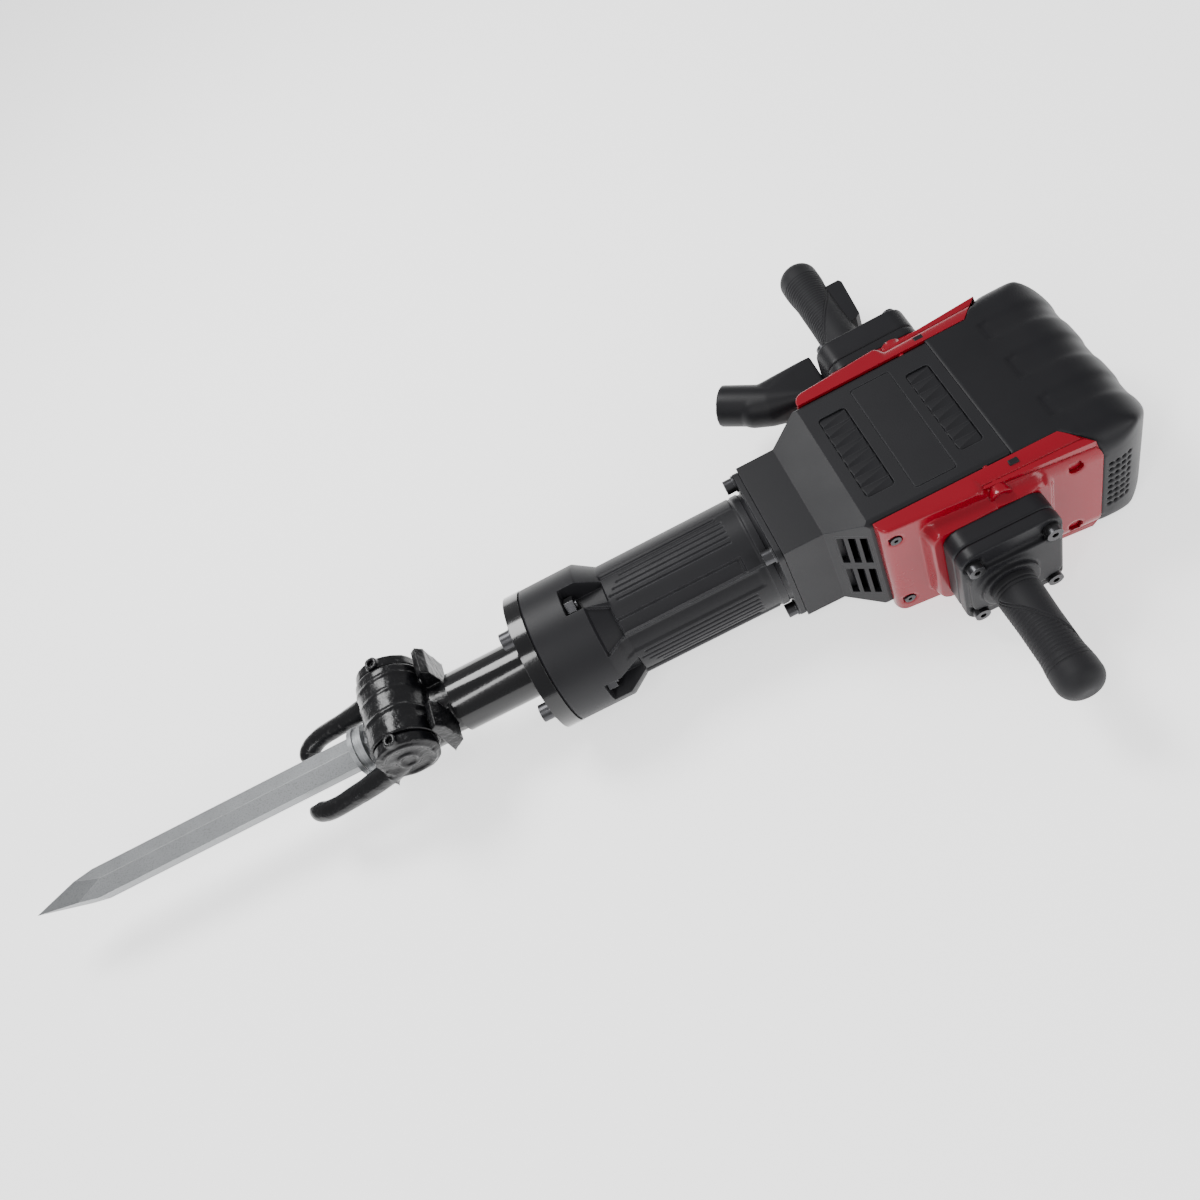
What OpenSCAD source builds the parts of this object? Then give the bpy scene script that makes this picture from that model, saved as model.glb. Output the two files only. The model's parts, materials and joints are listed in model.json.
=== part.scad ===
// Electric breaker hammer, lying on its flat back.
// X runs along the tool axis: the chisel points to -X and the motor sits at +X.
// Y runs along the handles, with the switch handle at +Y, and Z is up.
// The origin is on the resting surface, under the crossing of the tool axis and the handle axis.

/* [Chisel] */
// Width of the hexagonal bar across its flats
chisel_flats = 28.6; // [28:0.1:28.8]
// Length from the front of the collar to the tip
chisel_reach = 355; // [250:5:450]
// Length of the shank behind the collar
shank_length = 152; // [148:1:153]
// Length of the four-sided point
point_length = 84; // [60:2:110]
// Radius of the collar
collar_r = 23; // [21:0.5:24]

/* [Tool holder] */
// Free space between the collar and the tool holder
collar_gap = 10; // [8:1:12]
// Radius of the cross barrel that carries the latch pin
cross_barrel_r = 31; // [30:0.5:33]
// Height of the latch pin above the tool axis
latch_pin_height = 25; // [24.5:0.5:27]
// Radius of the latch pin
latch_pin_r = 7; // [6:0.5:7]

/* [Nose and barrel] */
// Length of the bare nose sleeve
nose_length = 80; // [70:1:90]
// Radius of the nose sleeve
nose_r = 28; // [27:0.5:30]
// Thickness of the front flange
flange_thickness = 14; // [12:1:18]
// Radius of the front flange, which also rests on the ground
flange_r = 64; // [64:0.5:64]
// Total length of the barrel housing
barrel_length = 217; // [217:1:219]
// Radius of the wide front of the barrel housing
barrel_wide_r = 63.5; // [62:0.5:63.5]
// Radius of the slim rear of the barrel housing
barrel_slim_r = 51; // [50:0.5:53]

/* [Body] */
// Thickness of the body across its flat front and back
body_thickness = 128; // [128:1:128]
// Distance from the handle axis forward to the neck
neck_reach = 146; // [146:1:148]
// Half width of the neck
neck_half_width = 50; // [50:1:52]
// Half width of the dark housing between the red covers
housing_half_width = 69.5; // [69:0.5:70]
// Half width of the body over the rear of the covers
cover_half_width = 95; // [94:1:98]
// Distance from the handle axis back to the end of the rear cap
cap_reach = 153; // [150:1:158]
// Wall thickness of the housings
wall = 5; // [4.5:0.1:5]

/* [Handles] */
// Radius of the rubber grips
grip_r = 18.5; // [18:0.5:20]
// Distance from the tool axis to the end of the plain handle
plain_handle_reach = 242; // [238:2:260]
// Distance from the tool axis to the end of the switch handle
switch_handle_reach = 276; // [274:1:290]
// Free travel of the trigger in degrees
trigger_travel = 6; // [4:1:7]

/* [Mechanism] */
// Radius of the cylinder bore
bore_r = 36; // [36:0.5:36]
// Radius of the crank throw
crank_throw = 20; // [18:1:20]
// Length of the connecting rod between its centres
rod_length = 95; // [95:1:96]
// Teeth on the crank gear
crank_teeth = 42; // [42:1:42]
// Teeth on the intermediate pinion
pinion_teeth = 13; // [13:1:13]
// Teeth on the intermediate gear
intermediate_teeth = 46; // [46:1:46]
// Teeth cut on the armature shaft
armature_teeth = 10; // [10:1:10]

/* [Hidden] */
$fn = 96;

// Clearances
running = 0.05;
loose = 0.3;
hidden_overlap = 1;

// Tool axis height and the stations along X, from the neck forward
axis_z = body_thickness / 2;
neck_x = -neck_reach;
barrel_x = neck_x - barrel_length;
wide_length = 48;
cone_length = 25;
wide_x = barrel_x + wide_length;
slim_x = wide_x + cone_length;
flange_x = barrel_x - flange_thickness;
nose_x = flange_x - nose_length;
pivot_x = nose_x - 50;
holder_x = pivot_x - cross_barrel_r;
collar_rear_x = holder_x - collar_gap;
collar_width = 13;
collar_x = collar_rear_x - collar_width;
tip_x = collar_x - chisel_reach;
shank_x = collar_rear_x + shank_length;
hex_turn = 15;
hex_corner_r = chisel_flats / sqrt(3);

// Stations along X of the body
kink_x = -111;
shoulder_x = -79;
seam_x = 40;
cover_corner_x = 77;
cover_rear_x = 101;
neck_half_height = 52;
neck_bolt_y = 41;
neck_bolt_z = 45.5;
cover_front_half_width = 82.5;
cover_thickness = 4;
pedestal_y = 98;
handle_centre_x = 6.8;
handle_screw_dx = 31.6;
handle_screw_dz = 34.4;

// Tool holder and latch
holder_half_width = 34.7;
shank_clearance = 0.5;
disc_inner_y = 35.7;
disc_outer_y = 46;
disc_r = 29;
arm_outer_y = 49;
arm_inner_y = 32;
latch_front_x = -627;
bail_width = 19;
arm_straight_x = -567;

// Striking mechanism stations
spigot_x = barrel_x - 9;
bushing_step_x = barrel_x + 7;
bushing_shoulder_x = barrel_x + 45;
bushing_rear_x = barrel_x + 63;
ring_rear_x = bushing_rear_x + 6;
cylinder_rear_x = neck_x + 28;
cylinder_wall = 6;
liner_r = bore_r + cylinder_wall;
bolt_front_x = -389;
bolt_step_x = -350;
bolt_rear_x = -314;
bolt_shaft_r = 16;
bolt_body_r = 22;
striker_nose_r = 18;
striker_front_x = -280;
striker_step_x = -260;
striker_rear_x = -218;

// Crank and gears: every shaft is parallel to Y and lies on the tool axis plane
crank_x = -38;
crank_pin_r = 9;
crank_module = 2.5;
motor_module = 1.75;
intermediate_x = crank_x + crank_module * (crank_teeth + pinion_teeth) / 2;
motor_x = intermediate_x + motor_module * (intermediate_teeth + armature_teeth) / 2;
crank_pin_x = crank_x + crank_throw;
wrist_x = crank_pin_x - rod_length;
piston_crown = 10;
piston_slot_depth = 2 * crank_throw + 12;
piston_x = wrist_x - piston_slot_depth - piston_crown;
piston_rear_x = wrist_x + 16;
piston_r = bore_r - 0.1;
wrist_pin_r = 7;
frame_y = [21, 35];
crank_gear_y = [37, 53];
motor_gear_y = [55, 63];
plate_y = 69.8;
plate_thickness = 4.4;
stator_r = 46;
stack_y = [-40, 0];
winding_length = 7;
motor_end_y = -64.2;

// Handle stations along Y
spacer_thickness = 17;
plain_flange_y = 131;
switch_flange_y = 138;
handle_core_r = 13;
trigger_y = [178, 232];
trigger_half_width = 8;

// Flat-on helpers: each one puts 2D or round shapes along one axis
module on_tool_axis() { translate([0, 0, axis_z]) children(); }

module rod_x(r, x0, x1) { translate([x0, 0, 0]) rotate([0, 90, 0]) cylinder(r = r, h = x1 - x0); }

module rod_y(r, y0, y1) { translate([0, y0, 0]) rotate([-90, 0, 0]) cylinder(r = r, h = y1 - y0); }

module rod_z(r, z0, z1) { translate([0, 0, z0]) cylinder(r = r, h = z1 - z0); }

module tube_x(outer, inner, x0, x1) {
    difference() {
        rod_x(outer, x0, x1);
        rod_x(inner, x0 - hidden_overlap, x1 + hidden_overlap);
    }
}

module tube_y(outer, inner, y0, y1) {
    difference() {
        rod_y(outer, y0, y1);
        rod_y(inner, y0 - hidden_overlap, y1 + hidden_overlap);
    }
}

module block(x, y, z) { translate([x[0], y[0], z[0]]) cube([x[1] - x[0], y[1] - y[0], z[1] - z[0]]); }

// A drawing in X and Y, raised along Z
module plan_prism(z) { translate([0, 0, z[0]]) linear_extrude(z[1] - z[0]) children(); }

// A drawing in X and Z, raised along Y
module side_prism(y) { translate([0, y[1], 0]) rotate([90, 0, 0]) linear_extrude(y[1] - y[0]) children(); }

// A drawing in Y and Z, raised along X
module front_prism(x) { translate([x[0], 0, 0]) rotate([90, 0, 90]) linear_extrude(x[1] - x[0]) children(); }

module both_sides() {
    children();
    mirror([0, 1, 0]) children();
}

module four_corners(dx, dz) {
    for (sx = [-1, 1], sz = [-1, 1]) translate([sx * dx, 0, sz * dz]) children();
}

// A rectangle with round corners, centred
module round_rect(w, h, r) {
    square([w - 2 * r, h], center = true);
    square([w, h - 2 * r], center = true);
    for (sx = [-1, 1], sy = [-1, 1]) translate([sx * (w / 2 - r), sy * (h / 2 - r)]) circle(r);
}

// Points of a squared-off half ellipse that bulges towards -X
function bail_curve(centre_x, length, half_width, steps) = [
    for (i = [0 : steps])
        let (t = 90 - 180 * i / steps, c = cos(t), s = sin(t), power = 2 / 3)
        [centre_x - length * pow(abs(c), power), half_width * sign(s) * pow(abs(s), power)]
];

// Straight-flanked teeth with a little backlash
function tooth_half_angle(teeth, size, r, backlash) =
    (PI * size / 4 - (r - teeth * size / 2) * tan(20) - backlash / 2) / r * 180 / PI;
function gear_outline(teeth, size, turn, backlash) =
    let (tip = teeth * size / 2 + 0.85 * size, root = teeth * size / 2 - 1.2 * size)
    [for (i = [0 : teeth - 1], corner = [[root, -1], [tip, -1], [tip, 1], [root, 1]])
        let (a = turn + i * 360 / teeth + corner[1] * tooth_half_angle(teeth, size, corner[0], backlash))
        corner[0] * [cos(a), sin(a)]];

module gear(teeth, size, turn, y) {
    side_prism(y) polygon(gear_outline(teeth, size, turn, 0.3 * size));
}

// Chisel, which slides in the hexagonal bushing
module hex_bar(flats, x0, x1) {
    translate([x0, 0, 0]) rotate([hex_turn, 0, 0]) rotate([0, 90, 0])
        cylinder(r = flats / sqrt(3), h = x1 - x0, $fn = 6);
}

module point_wedge() {
    plan_prism([-collar_r, collar_r])
        polygon([[tip_x, 0], [tip_x + point_length, hex_corner_r], [collar_x + 1, hex_corner_r],
            [collar_x + 1, -hex_corner_r], [tip_x + point_length, -hex_corner_r]]);
}

module chisel() {
    color("darkgray") on_tool_axis() {
        intersection() {
            hex_bar(chisel_flats, tip_x, collar_x + 1);
            rotate([hex_turn, 0, 0]) point_wedge();
            rotate([hex_turn + 90, 0, 0]) point_wedge();
        }
        hex_bar(chisel_flats, collar_x, shank_x);
        rod_x(collar_r, collar_x, collar_x + collar_width / 3);
        rod_x(collar_r - 2, collar_x + collar_width / 3, collar_rear_x - collar_width / 3);
        rod_x(collar_r - 1, collar_rear_x - collar_width / 3, collar_rear_x);
    }
}

// Tool holder with its cross barrel, its neck and the stop fins behind the latch discs
module stop_fin() {
    side_prism([15, disc_outer_y - 4])
        polygon([[-475, -5], [-461, 7], [-463, 40], [-468, 47], [-474, 43]]);
}

module tool_holder() {
    neck_joint_x = pivot_x + 29;
    barrel_turn = 37;
    color([0.08, 0.08, 0.09]) on_tool_axis() difference() {
        union() {
            translate([pivot_x, 0, latch_pin_height]) rotate([0, barrel_turn, 0])
                rod_y(cross_barrel_r, -holder_half_width, holder_half_width);
            rod_x(nose_r + 1, holder_x + 2, neck_joint_x);
            block([holder_x + 5, neck_joint_x - 1], [-nose_r + 3, nose_r - 3], [0, latch_pin_height]);
            rod_x(nose_r - 3, neck_joint_x, nose_x + 25);
            both_sides() stop_fin();
        }
        rod_x(17, holder_x - hidden_overlap, nose_x + 26);
        translate([pivot_x, 0, latch_pin_height]) rod_y(latch_pin_r + running, -50, 50);
    }
}

// The U-shaped latch: two discs on the pin, two arms and a saddle that blocks the collar
module latch_side_view() {
    polygon([[-505, 20], [-512, 44], [-532, 36], [-545, 12], [-590, 8], [-612, 10], [latch_front_x, 6],
        [latch_front_x, -32], [latch_front_x + 6, -36], [-609, -36], [-598, -12], [-560, -10], [-535, -6]]);
}

module latch_plan_view() {
    outer_length = arm_straight_x - latch_front_x;
    difference() {
        union() {
            polygon(bail_curve(arm_straight_x, outer_length, arm_outer_y, 32));
            translate([arm_straight_x, -arm_outer_y]) square([arm_straight_x * -1 - 532, 2 * arm_outer_y]);
            translate([-533, -disc_outer_y]) square([30, 2 * disc_outer_y]);
        }
        polygon(bail_curve(arm_straight_x, outer_length - bail_width, arm_inner_y, 32));
        translate([arm_straight_x - 1, -arm_inner_y]) square([27, 2 * arm_inner_y]);
        translate([-542, -disc_inner_y]) square([60, 2 * disc_inner_y]);
    }
}

module latch_disc() {
    boss_y = (disc_inner_y + disc_outer_y) / 2;
    difference() {
        union() {
            translate([pivot_x, 0, latch_pin_height]) rod_y(disc_r, disc_inner_y, disc_outer_y);
            translate([pivot_x, boss_y, 0]) rod_z(6, latch_pin_height + 15, latch_pin_height + 33);
        }
        translate([pivot_x, 0, latch_pin_height]) rod_y(latch_pin_r, 0, disc_outer_y - 2);
        translate([pivot_x, boss_y, 0]) rod_z(3, latch_pin_height + 6, latch_pin_height + 40);
    }
}

module latch() {
    color([0.07, 0.07, 0.08]) on_tool_axis() {
        both_sides() latch_disc();
        difference() {
            intersection() {
                plan_prism([-60, 60]) latch_plan_view();
                side_prism([-60, 60]) latch_side_view();
            }
            rod_x(18.5, latch_front_x - 1, -590);
            block([latch_front_x - 1, -590], [-18.5, 18.5], [0, 60]);
            translate([pivot_x, 0, latch_pin_height]) rod_y(disc_r - 1, -60, 60);
        }
    }
}

module latch_pin() {
    color("dimgray") on_tool_axis() translate([pivot_x, 0, latch_pin_height])
        rod_y(latch_pin_r, -disc_outer_y + 2, disc_outer_y - 2);
}

module latch_set_screws() {
    boss_y = (disc_inner_y + disc_outer_y) / 2;
    screw_top = latch_pin_height + 29;
    color("gray") on_tool_axis() both_sides() translate([pivot_x, boss_y, 0]) difference() {
        rod_z(3, latch_pin_height + latch_pin_r, screw_top);
        translate([0, 0, screw_top - 3]) cylinder(r = 1.7, h = 4, $fn = 6);
    }
}

// Nose sleeve, pinned behind the flange by its rear collar
module nose_sleeve() {
    color([0.05, 0.05, 0.06]) on_tool_axis() difference() {
        union() {
            rod_x(nose_r, nose_x, barrel_x);
            rod_x(nose_r + 6, barrel_x, bushing_step_x);
        }
        rod_x(nose_r - 3, nose_x - 1, nose_x + 25);
        rod_x(bolt_body_r, nose_x + 20, bushing_step_x + 1);
    }
}

module shank_bushing() {
    color("peru") on_tool_axis() difference() {
        rod_x(bolt_body_r, nose_x + 26, shank_x + 3);
        hex_bar(chisel_flats + shank_clearance, nose_x + 20, shank_x + 4);
    }
}

module front_seal() {
    color("black") on_tool_axis() tube_x(bolt_body_r, bolt_shaft_r + 0.1, spigot_x - 8, spigot_x - 1);
}

// Front flange and its four bolts at the top, bottom and sides
module flange_bolt_places() {
    for (a = [0 : 90 : 270]) rotate([a, 0, 0]) translate([0, 0, 50]) children();
}

module front_flange() {
    color([0.05, 0.05, 0.06]) on_tool_axis() difference() {
        rod_x(flange_r, flange_x, barrel_x);
        rod_x(nose_r, flange_x - 1, barrel_x + 1);
        flange_bolt_places() rod_x(5.2, flange_x - 1, barrel_x + 1);
    }
}

module socket_bolt_x(r, head_r, head, x_face, x_end) {
    difference() {
        union() {
            rod_x(head_r, x_face - head, x_face);
            rod_x(r, x_face, x_end);
        }
        translate([x_face - head - 1, 0, 0]) rotate([0, 90, 0]) cylinder(r = r * 0.55, h = head * 0.6, $fn = 6);
    }
}

nut_x = wide_x - 11;

module flange_bolts() {
    color("slategray") on_tool_axis() flange_bolt_places() {
        socket_bolt_x(5, 8, 10, flange_x - 2, nut_x + 10);
        tube_x(9.5, 5, flange_x - 2, flange_x);
    }
}

module flange_nuts() {
    color("gray") on_tool_axis() flange_bolt_places() difference() {
        translate([nut_x, 0, 0]) rotate([0, 90, 0]) cylinder(r = 9.4, h = 8, $fn = 6);
        rod_x(5, nut_x - 1, nut_x + 9);
    }
}

// Barrel housing: a wide front, a cone with nut pockets and a slim ribbed rear
module barrel_grooves() {
    for (quarter = [0 : 90 : 270], i = [0 : 4])
        rotate([quarter + 22 + 5 * i, 0, 0])
            block([slim_x + 8, neck_x - 34], [-0.9, 0.9], [barrel_slim_r - 1.5, barrel_slim_r + 5]);
}

module nut_pockets() {
    flange_bolt_places() block([nut_x, slim_x + 1], [-12, 12], [-9.7, 20]);
}

module neck_bolt_places() { for (sy = [-1, 1], sz = [-1, 1]) translate([0, sy * neck_bolt_y, sz * neck_bolt_z]) children(); }

module barrel_housing() {
    rear_flange = 6;
    color([0.27, 0.27, 0.29]) on_tool_axis() difference() {
        union() {
            rod_x(barrel_wide_r, barrel_x, wide_x);
            translate([wide_x, 0, 0]) rotate([0, 90, 0])
                cylinder(r1 = barrel_wide_r, r2 = barrel_slim_r, h = cone_length);
            rod_x(barrel_slim_r, slim_x, neck_x);
            front_prism([neck_x - rear_flange, neck_x]) round_rect(2 * neck_half_width, 2 * neck_half_height, 8);
        }
        rod_x(nose_r + 6, barrel_x - 1, bushing_shoulder_x);
        rod_x(liner_r, bushing_shoulder_x, neck_x + 1);
        flange_bolt_places() rod_x(5.2, barrel_x - 1, nut_x + 1);
        nut_pockets();
        barrel_grooves();
        neck_bolt_places() rod_x(4.2, neck_x - rear_flange - 1, neck_x + 1);
    }
}

module bolt_bushing() {
    color("peru") on_tool_axis() difference() {
        union() {
            rod_x(bolt_body_r, spigot_x, bushing_step_x);
            rod_x(nose_r + 6, bushing_step_x, bushing_shoulder_x);
            rod_x(liner_r, bushing_shoulder_x, bushing_rear_x);
        }
        rod_x(bolt_shaft_r + running, spigot_x - 1, bolt_step_x);
        rod_x(bolt_body_r + running, bolt_step_x - 2, bushing_rear_x + 1);
    }
}

module impact_bolt() {
    color("silver") on_tool_axis() {
        rod_x(bolt_shaft_r, bolt_front_x, bolt_step_x);
        rod_x(bolt_body_r, bolt_step_x, bolt_rear_x);
    }
}

module stop_ring() {
    color("gray") on_tool_axis() tube_x(liner_r, striker_nose_r + 0.6, bushing_rear_x, ring_rear_x);
}

module cylinder_liner() {
    color("gray") on_tool_axis() difference() {
        tube_x(liner_r, bore_r, ring_rear_x, cylinder_rear_x);
        for (a = [30 : 60 : 330]) rotate([a, 0, 0]) translate([-215, 0, 0]) rod_z(2.5, 30, 50);
    }
}

module striker() {
    color("silver") on_tool_axis() difference() {
        union() {
            rod_x(striker_nose_r, striker_front_x, striker_step_x);
            rod_x(piston_r, striker_step_x, striker_rear_x);
        }
        for (x = [striker_step_x + 9, striker_rear_x - 13]) tube_x(bore_r + 1, bore_r - 3, x, x + 4);
    }
}

module striker_rings() {
    color("black") on_tool_axis()
        for (x = [striker_step_x + 9, striker_rear_x - 13]) tube_x(bore_r - running, bore_r - 3, x, x + 4);
}

// Piston: the open slot lets the rod swing, and the pin bore lines up with the wrist pin at rest
module piston() {
    slot_half_width = 11;
    slot_half_height = 32;
    ring_x = piston_x + 4;
    color("lightgray") on_tool_axis() difference() {
        rod_x(piston_r, piston_x, piston_rear_x);
        block([piston_x + piston_crown, piston_rear_x + 1], [-slot_half_width, slot_half_width],
            [-slot_half_height, slot_half_height]);
        translate([wrist_x, 0, 0]) rod_y(wrist_pin_r + running, -bore_r - 1, bore_r + 1);
        tube_x(bore_r + 1, bore_r - 3, ring_x, ring_x + 3);
    }
}

module piston_ring() {
    ring_x = piston_x + 4;
    color("black") on_tool_axis() tube_x(bore_r - running, bore_r - 3, ring_x, ring_x + 3);
}

module wrist_pin() {
    color("silver") on_tool_axis() translate([wrist_x, 0, 0]) rod_y(wrist_pin_r, -9.5, 9.5);
}

module connecting_rod() {
    big_end_r = 17;
    small_end_r = 11;
    half_width = 8;
    color("gray") on_tool_axis() difference() {
        union() {
            translate([crank_pin_x, 0, 0]) rod_y(big_end_r, -half_width, half_width);
            translate([wrist_x, 0, 0]) rod_y(small_end_r, -half_width, half_width);
            block([wrist_x, crank_pin_x], [-half_width + 2, half_width - 2], [-7, 7]);
        }
        translate([crank_pin_x, 0, 0]) rod_y(crank_pin_r + 3, -half_width - 1, half_width + 1);
        translate([wrist_x, 0, 0]) rod_y(wrist_pin_r, -half_width - 1, half_width + 1);
    }
}

module rod_bearing() {
    color("goldenrod") on_tool_axis() translate([crank_pin_x, 0, 0])
        tube_y(crank_pin_r + 3, crank_pin_r + running, -8, 8);
}

module crankshaft() {
    color("silver") on_tool_axis() {
        translate([crank_pin_x, 0, 0]) rod_y(crank_pin_r, -8.5, 9.5);
        translate([crank_x, 0, 0]) {
            rod_y(36, 9.2, 19);
            rod_y(12.5, 19, crank_gear_y[1]);
            rod_y(10, crank_gear_y[1], 77);
        }
    }
}

module crank_gear() {
    color("gray") on_tool_axis() translate([crank_x, 0, 0]) difference() {
        gear(crank_teeth, crank_module, 0, crank_gear_y);
        rod_y(12.5, 30, 60);
        rod_y(42, 30, crank_gear_y[0] + 3);
        for (a = [0 : 60 : 300]) rotate([0, a, 0]) translate([31, 0, 0]) rod_y(7, 30, 60);
    }
    color("gray") on_tool_axis() translate([crank_x, 0, 0]) tube_y(18, 12.5, frame_y[1] + 0.5, crank_gear_y[0] + 3);
}

module crank_bearings() {
    color("lightgray") on_tool_axis() translate([crank_x, 0, 0]) {
        tube_y(26, 12.5 + running, frame_y[0] + 1, frame_y[1] - 1);
        tube_y(21, 10 + running, 66, 77);
    }
}

module intermediate_shaft() {
    color("silver") on_tool_axis() translate([intermediate_x, 0, 0]) {
        rod_y(7.5, frame_y[0] + 1, crank_gear_y[0]);
        gear(pinion_teeth, crank_module, 0, crank_gear_y);
        rod_y(9, crank_gear_y[1], motor_gear_y[1]);
        rod_y(7.5, motor_gear_y[1], 77);
    }
}

module intermediate_gear() {
    color("gray") on_tool_axis() translate([intermediate_x, 0, 0]) difference() {
        gear(intermediate_teeth, motor_module, 0, motor_gear_y);
        rod_y(9, 50, 70);
        for (a = [30 : 60 : 330]) rotate([0, a, 0]) translate([24, 0, 0]) rod_y(6, 50, 70);
    }
}

module intermediate_bearings() {
    color("lightgray") on_tool_axis() translate([intermediate_x, 0, 0]) {
        tube_y(16, 7.5 + running, frame_y[0] + 1, frame_y[0] + 12);
        tube_y(16, 7.5 + running, 66, 77);
    }
}

// Motor, across the tool behind the crank
commutator_y = [-60.5, -49];
rear_bearing_y = [-71, -62.5];
fan_y = [9, 18];

module armature_shaft() {
    color("silver") on_tool_axis() translate([motor_x, 0, 0]) {
        rod_y(8, rear_bearing_y[0], motor_gear_y[0] - 4);
        rod_y(5.5, motor_gear_y[0] - 4, motor_gear_y[0]);
        gear(armature_teeth, motor_module, 180 / armature_teeth, motor_gear_y);
    }
}

module armature_core() {
    core_r = 27;
    color("dimgray") on_tool_axis() translate([motor_x, 0, 0]) difference() {
        tube_y(core_r, 8, stack_y[0], stack_y[1]);
        for (a = [0 : 30 : 330]) rotate([0, a, 0])
            block([core_r - 8, core_r + 1], [stack_y[0] - 1, stack_y[1] + 1], [-1.2, 1.2]);
    }
}

module armature_windings() {
    color("chocolate") on_tool_axis() translate([motor_x, 0, 0]) {
        tube_y(23, 8, stack_y[0] - winding_length, stack_y[0]);
        tube_y(23, 8, stack_y[1], stack_y[1] + winding_length);
    }
}

module commutator() {
    color("orange") on_tool_axis() translate([motor_x, 0, 0]) difference() {
        tube_y(16, 8, commutator_y[0], commutator_y[1] + 2);
        for (a = [0 : 30 : 330]) rotate([0, a, 0])
            block([14.5, 17], [commutator_y[0] - 1, commutator_y[1] - 1], [-0.4, 0.4]);
    }
}

module cooling_fan() {
    hub_r = 14;
    color("ivory") on_tool_axis() translate([motor_x, 0, 0]) {
        tube_y(hub_r, 8, fan_y[0], fan_y[1]);
        tube_y(42, hub_r - 1, fan_y[1] - 2, fan_y[1]);
        for (blade = [0 : 11]) rotate([0, 30 * blade + 11, 0])
            block([hub_r - 1, 41], [fan_y[0] + 0.5, fan_y[1] - 1], [-0.9, 0.9]);
    }
}

module armature_bearings() {
    color("lightgray") on_tool_axis() translate([motor_x, 0, 0]) {
        tube_y(17.5, 8 + running, rear_bearing_y[0] + 1, rear_bearing_y[1]);
        tube_y(17.5, 8 + running, frame_y[0] + 1, frame_y[0] + 12);
    }
}

module stator() {
    color("dimgray") on_tool_axis() translate([motor_x, 0, 0]) difference() {
        rod_y(stator_r, stack_y[0], stack_y[1]);
        rod_y(27.8, stack_y[0] - 1, stack_y[1] + 1);
        for (side = [-1, 1]) translate([0, 0, side * 35]) block([-14, 14], [stack_y[0] - 1, stack_y[1] + 1], [-4, 4]);
    }
}

module field_coils() {
    color("chocolate") on_tool_axis() translate([motor_x, 0, 0]) {
        tube_y(40, 30, stack_y[0] - winding_length, stack_y[0]);
        tube_y(40, 30, stack_y[1], stack_y[1] + winding_length);
    }
}

bearing_boss_r = 22;
brush_holder_r = 7;

module motor_housing() {
    tube_r = 51;
    brush_y = (commutator_y[0] + commutator_y[1]) / 2;
    color([0.3, 0.3, 0.32]) on_tool_axis() translate([motor_x, 0, 0]) difference() {
        union() {
            rod_y(tube_r, motor_end_y, frame_y[0]);
            rod_y(bearing_boss_r, rear_bearing_y[0] - 2, motor_end_y + 1);
        }
        rod_y(stator_r, motor_end_y + 2.5, frame_y[0] + 1);
        rod_y(17.5, rear_bearing_y[0] + 1, rear_bearing_y[1] + 4);
        rod_y(9, rear_bearing_y[0] - 3, rear_bearing_y[0] + 2);
        translate([0, brush_y, 0]) rod_z(brush_holder_r + 0.2, -60, 60);
        for (a = [45 : 90 : 315]) rotate([0, a, 0]) block([40, 60], [fan_y[0], fan_y[1] - 2], [-9, 9]);
    }
}

module brush_places() {
    translate([motor_x, (commutator_y[0] + commutator_y[1]) / 2, 0]) {
        children();
        rotate([180, 0, 0]) children();
    }
}

module brush_holders() {
    color("saddlebrown") on_tool_axis() brush_places() difference() {
        rod_z(brush_holder_r, 19, 50);
        block([-4, 4], [-3, 3], [18, 45]);
    }
}

module carbon_brushes() {
    color([0.15, 0.15, 0.15]) on_tool_axis() brush_places() block([-3.9, 3.9], [-2.9, 2.9], [16.3, 36]);
}

// Inner wall that carries one end of every shaft
module bearing_frame() {
    color("silver") on_tool_axis() difference() {
        intersection() {
            block([shoulder_x + 2, motor_x + 52], frame_y, [-57, 57]);
            side_prism([frame_y[0] - 1, frame_y[1] + 1]) union() {
                translate([shoulder_x, -58]) square([seam_x - shoulder_x, 116]);
                cap_side(cover_thickness + 0.5);
            }
        }
        translate([crank_x, 0, 0]) {
            rod_y(26, frame_y[0] + 1, frame_y[1] - 1);
            rod_y(20, frame_y[0] - 1, frame_y[1] + 1);
        }
        translate([intermediate_x, 0, 0]) {
            rod_y(16, frame_y[0] + 1, frame_y[1] - 2);
            rod_y(10, frame_y[0] - 1, frame_y[1] + 1);
        }
        translate([motor_x, 0, 0]) {
            rod_y(17.5, frame_y[0] + 1, frame_y[1] - 2);
            rod_y(10, frame_y[0] - 1, frame_y[1] + 1);
        }
    }
}

// Outer plate that closes the gear case and carries the switch handle's screw bosses
module handle_screw_places() { translate([handle_centre_x, 0, 0]) four_corners(handle_screw_dx, handle_screw_dz) children(); }

plate_x = shoulder_x + 8;

module bearing_plate() {
    boss_start = 65;
    boss_end = 78;
    color("silver") on_tool_axis() difference() {
        union() {
            block([plate_x, 88], [plate_y, plate_y + plate_thickness], [-56, 56]);
            translate([crank_x, 0, 0]) rod_y(27, boss_start, boss_end);
            translate([intermediate_x, 0, 0]) rod_y(20, boss_start, boss_end);
            handle_screw_places() rod_y(9, plate_y, pedestal_y - cover_thickness - loose);
        }
        translate([crank_x, 0, 0]) rod_y(21, boss_start - 1, boss_end - 1);
        translate([intermediate_x, 0, 0]) rod_y(16, boss_start - 1, boss_end - 1);
        handle_screw_places() rod_y(4, plate_y + 2, pedestal_y);
        cover_screw_places() rod_y(2.5, plate_y - 1, pedestal_y);
    }
}

// Main dark housing: bolted neck, flared shoulder and gear case
housing_plan = [[neck_x, neck_half_width], [kink_x, neck_half_width], [shoulder_x, housing_half_width]];
housing_side = [[neck_x, neck_half_height], [kink_x, neck_half_height], [shoulder_x, axis_z]];

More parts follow.
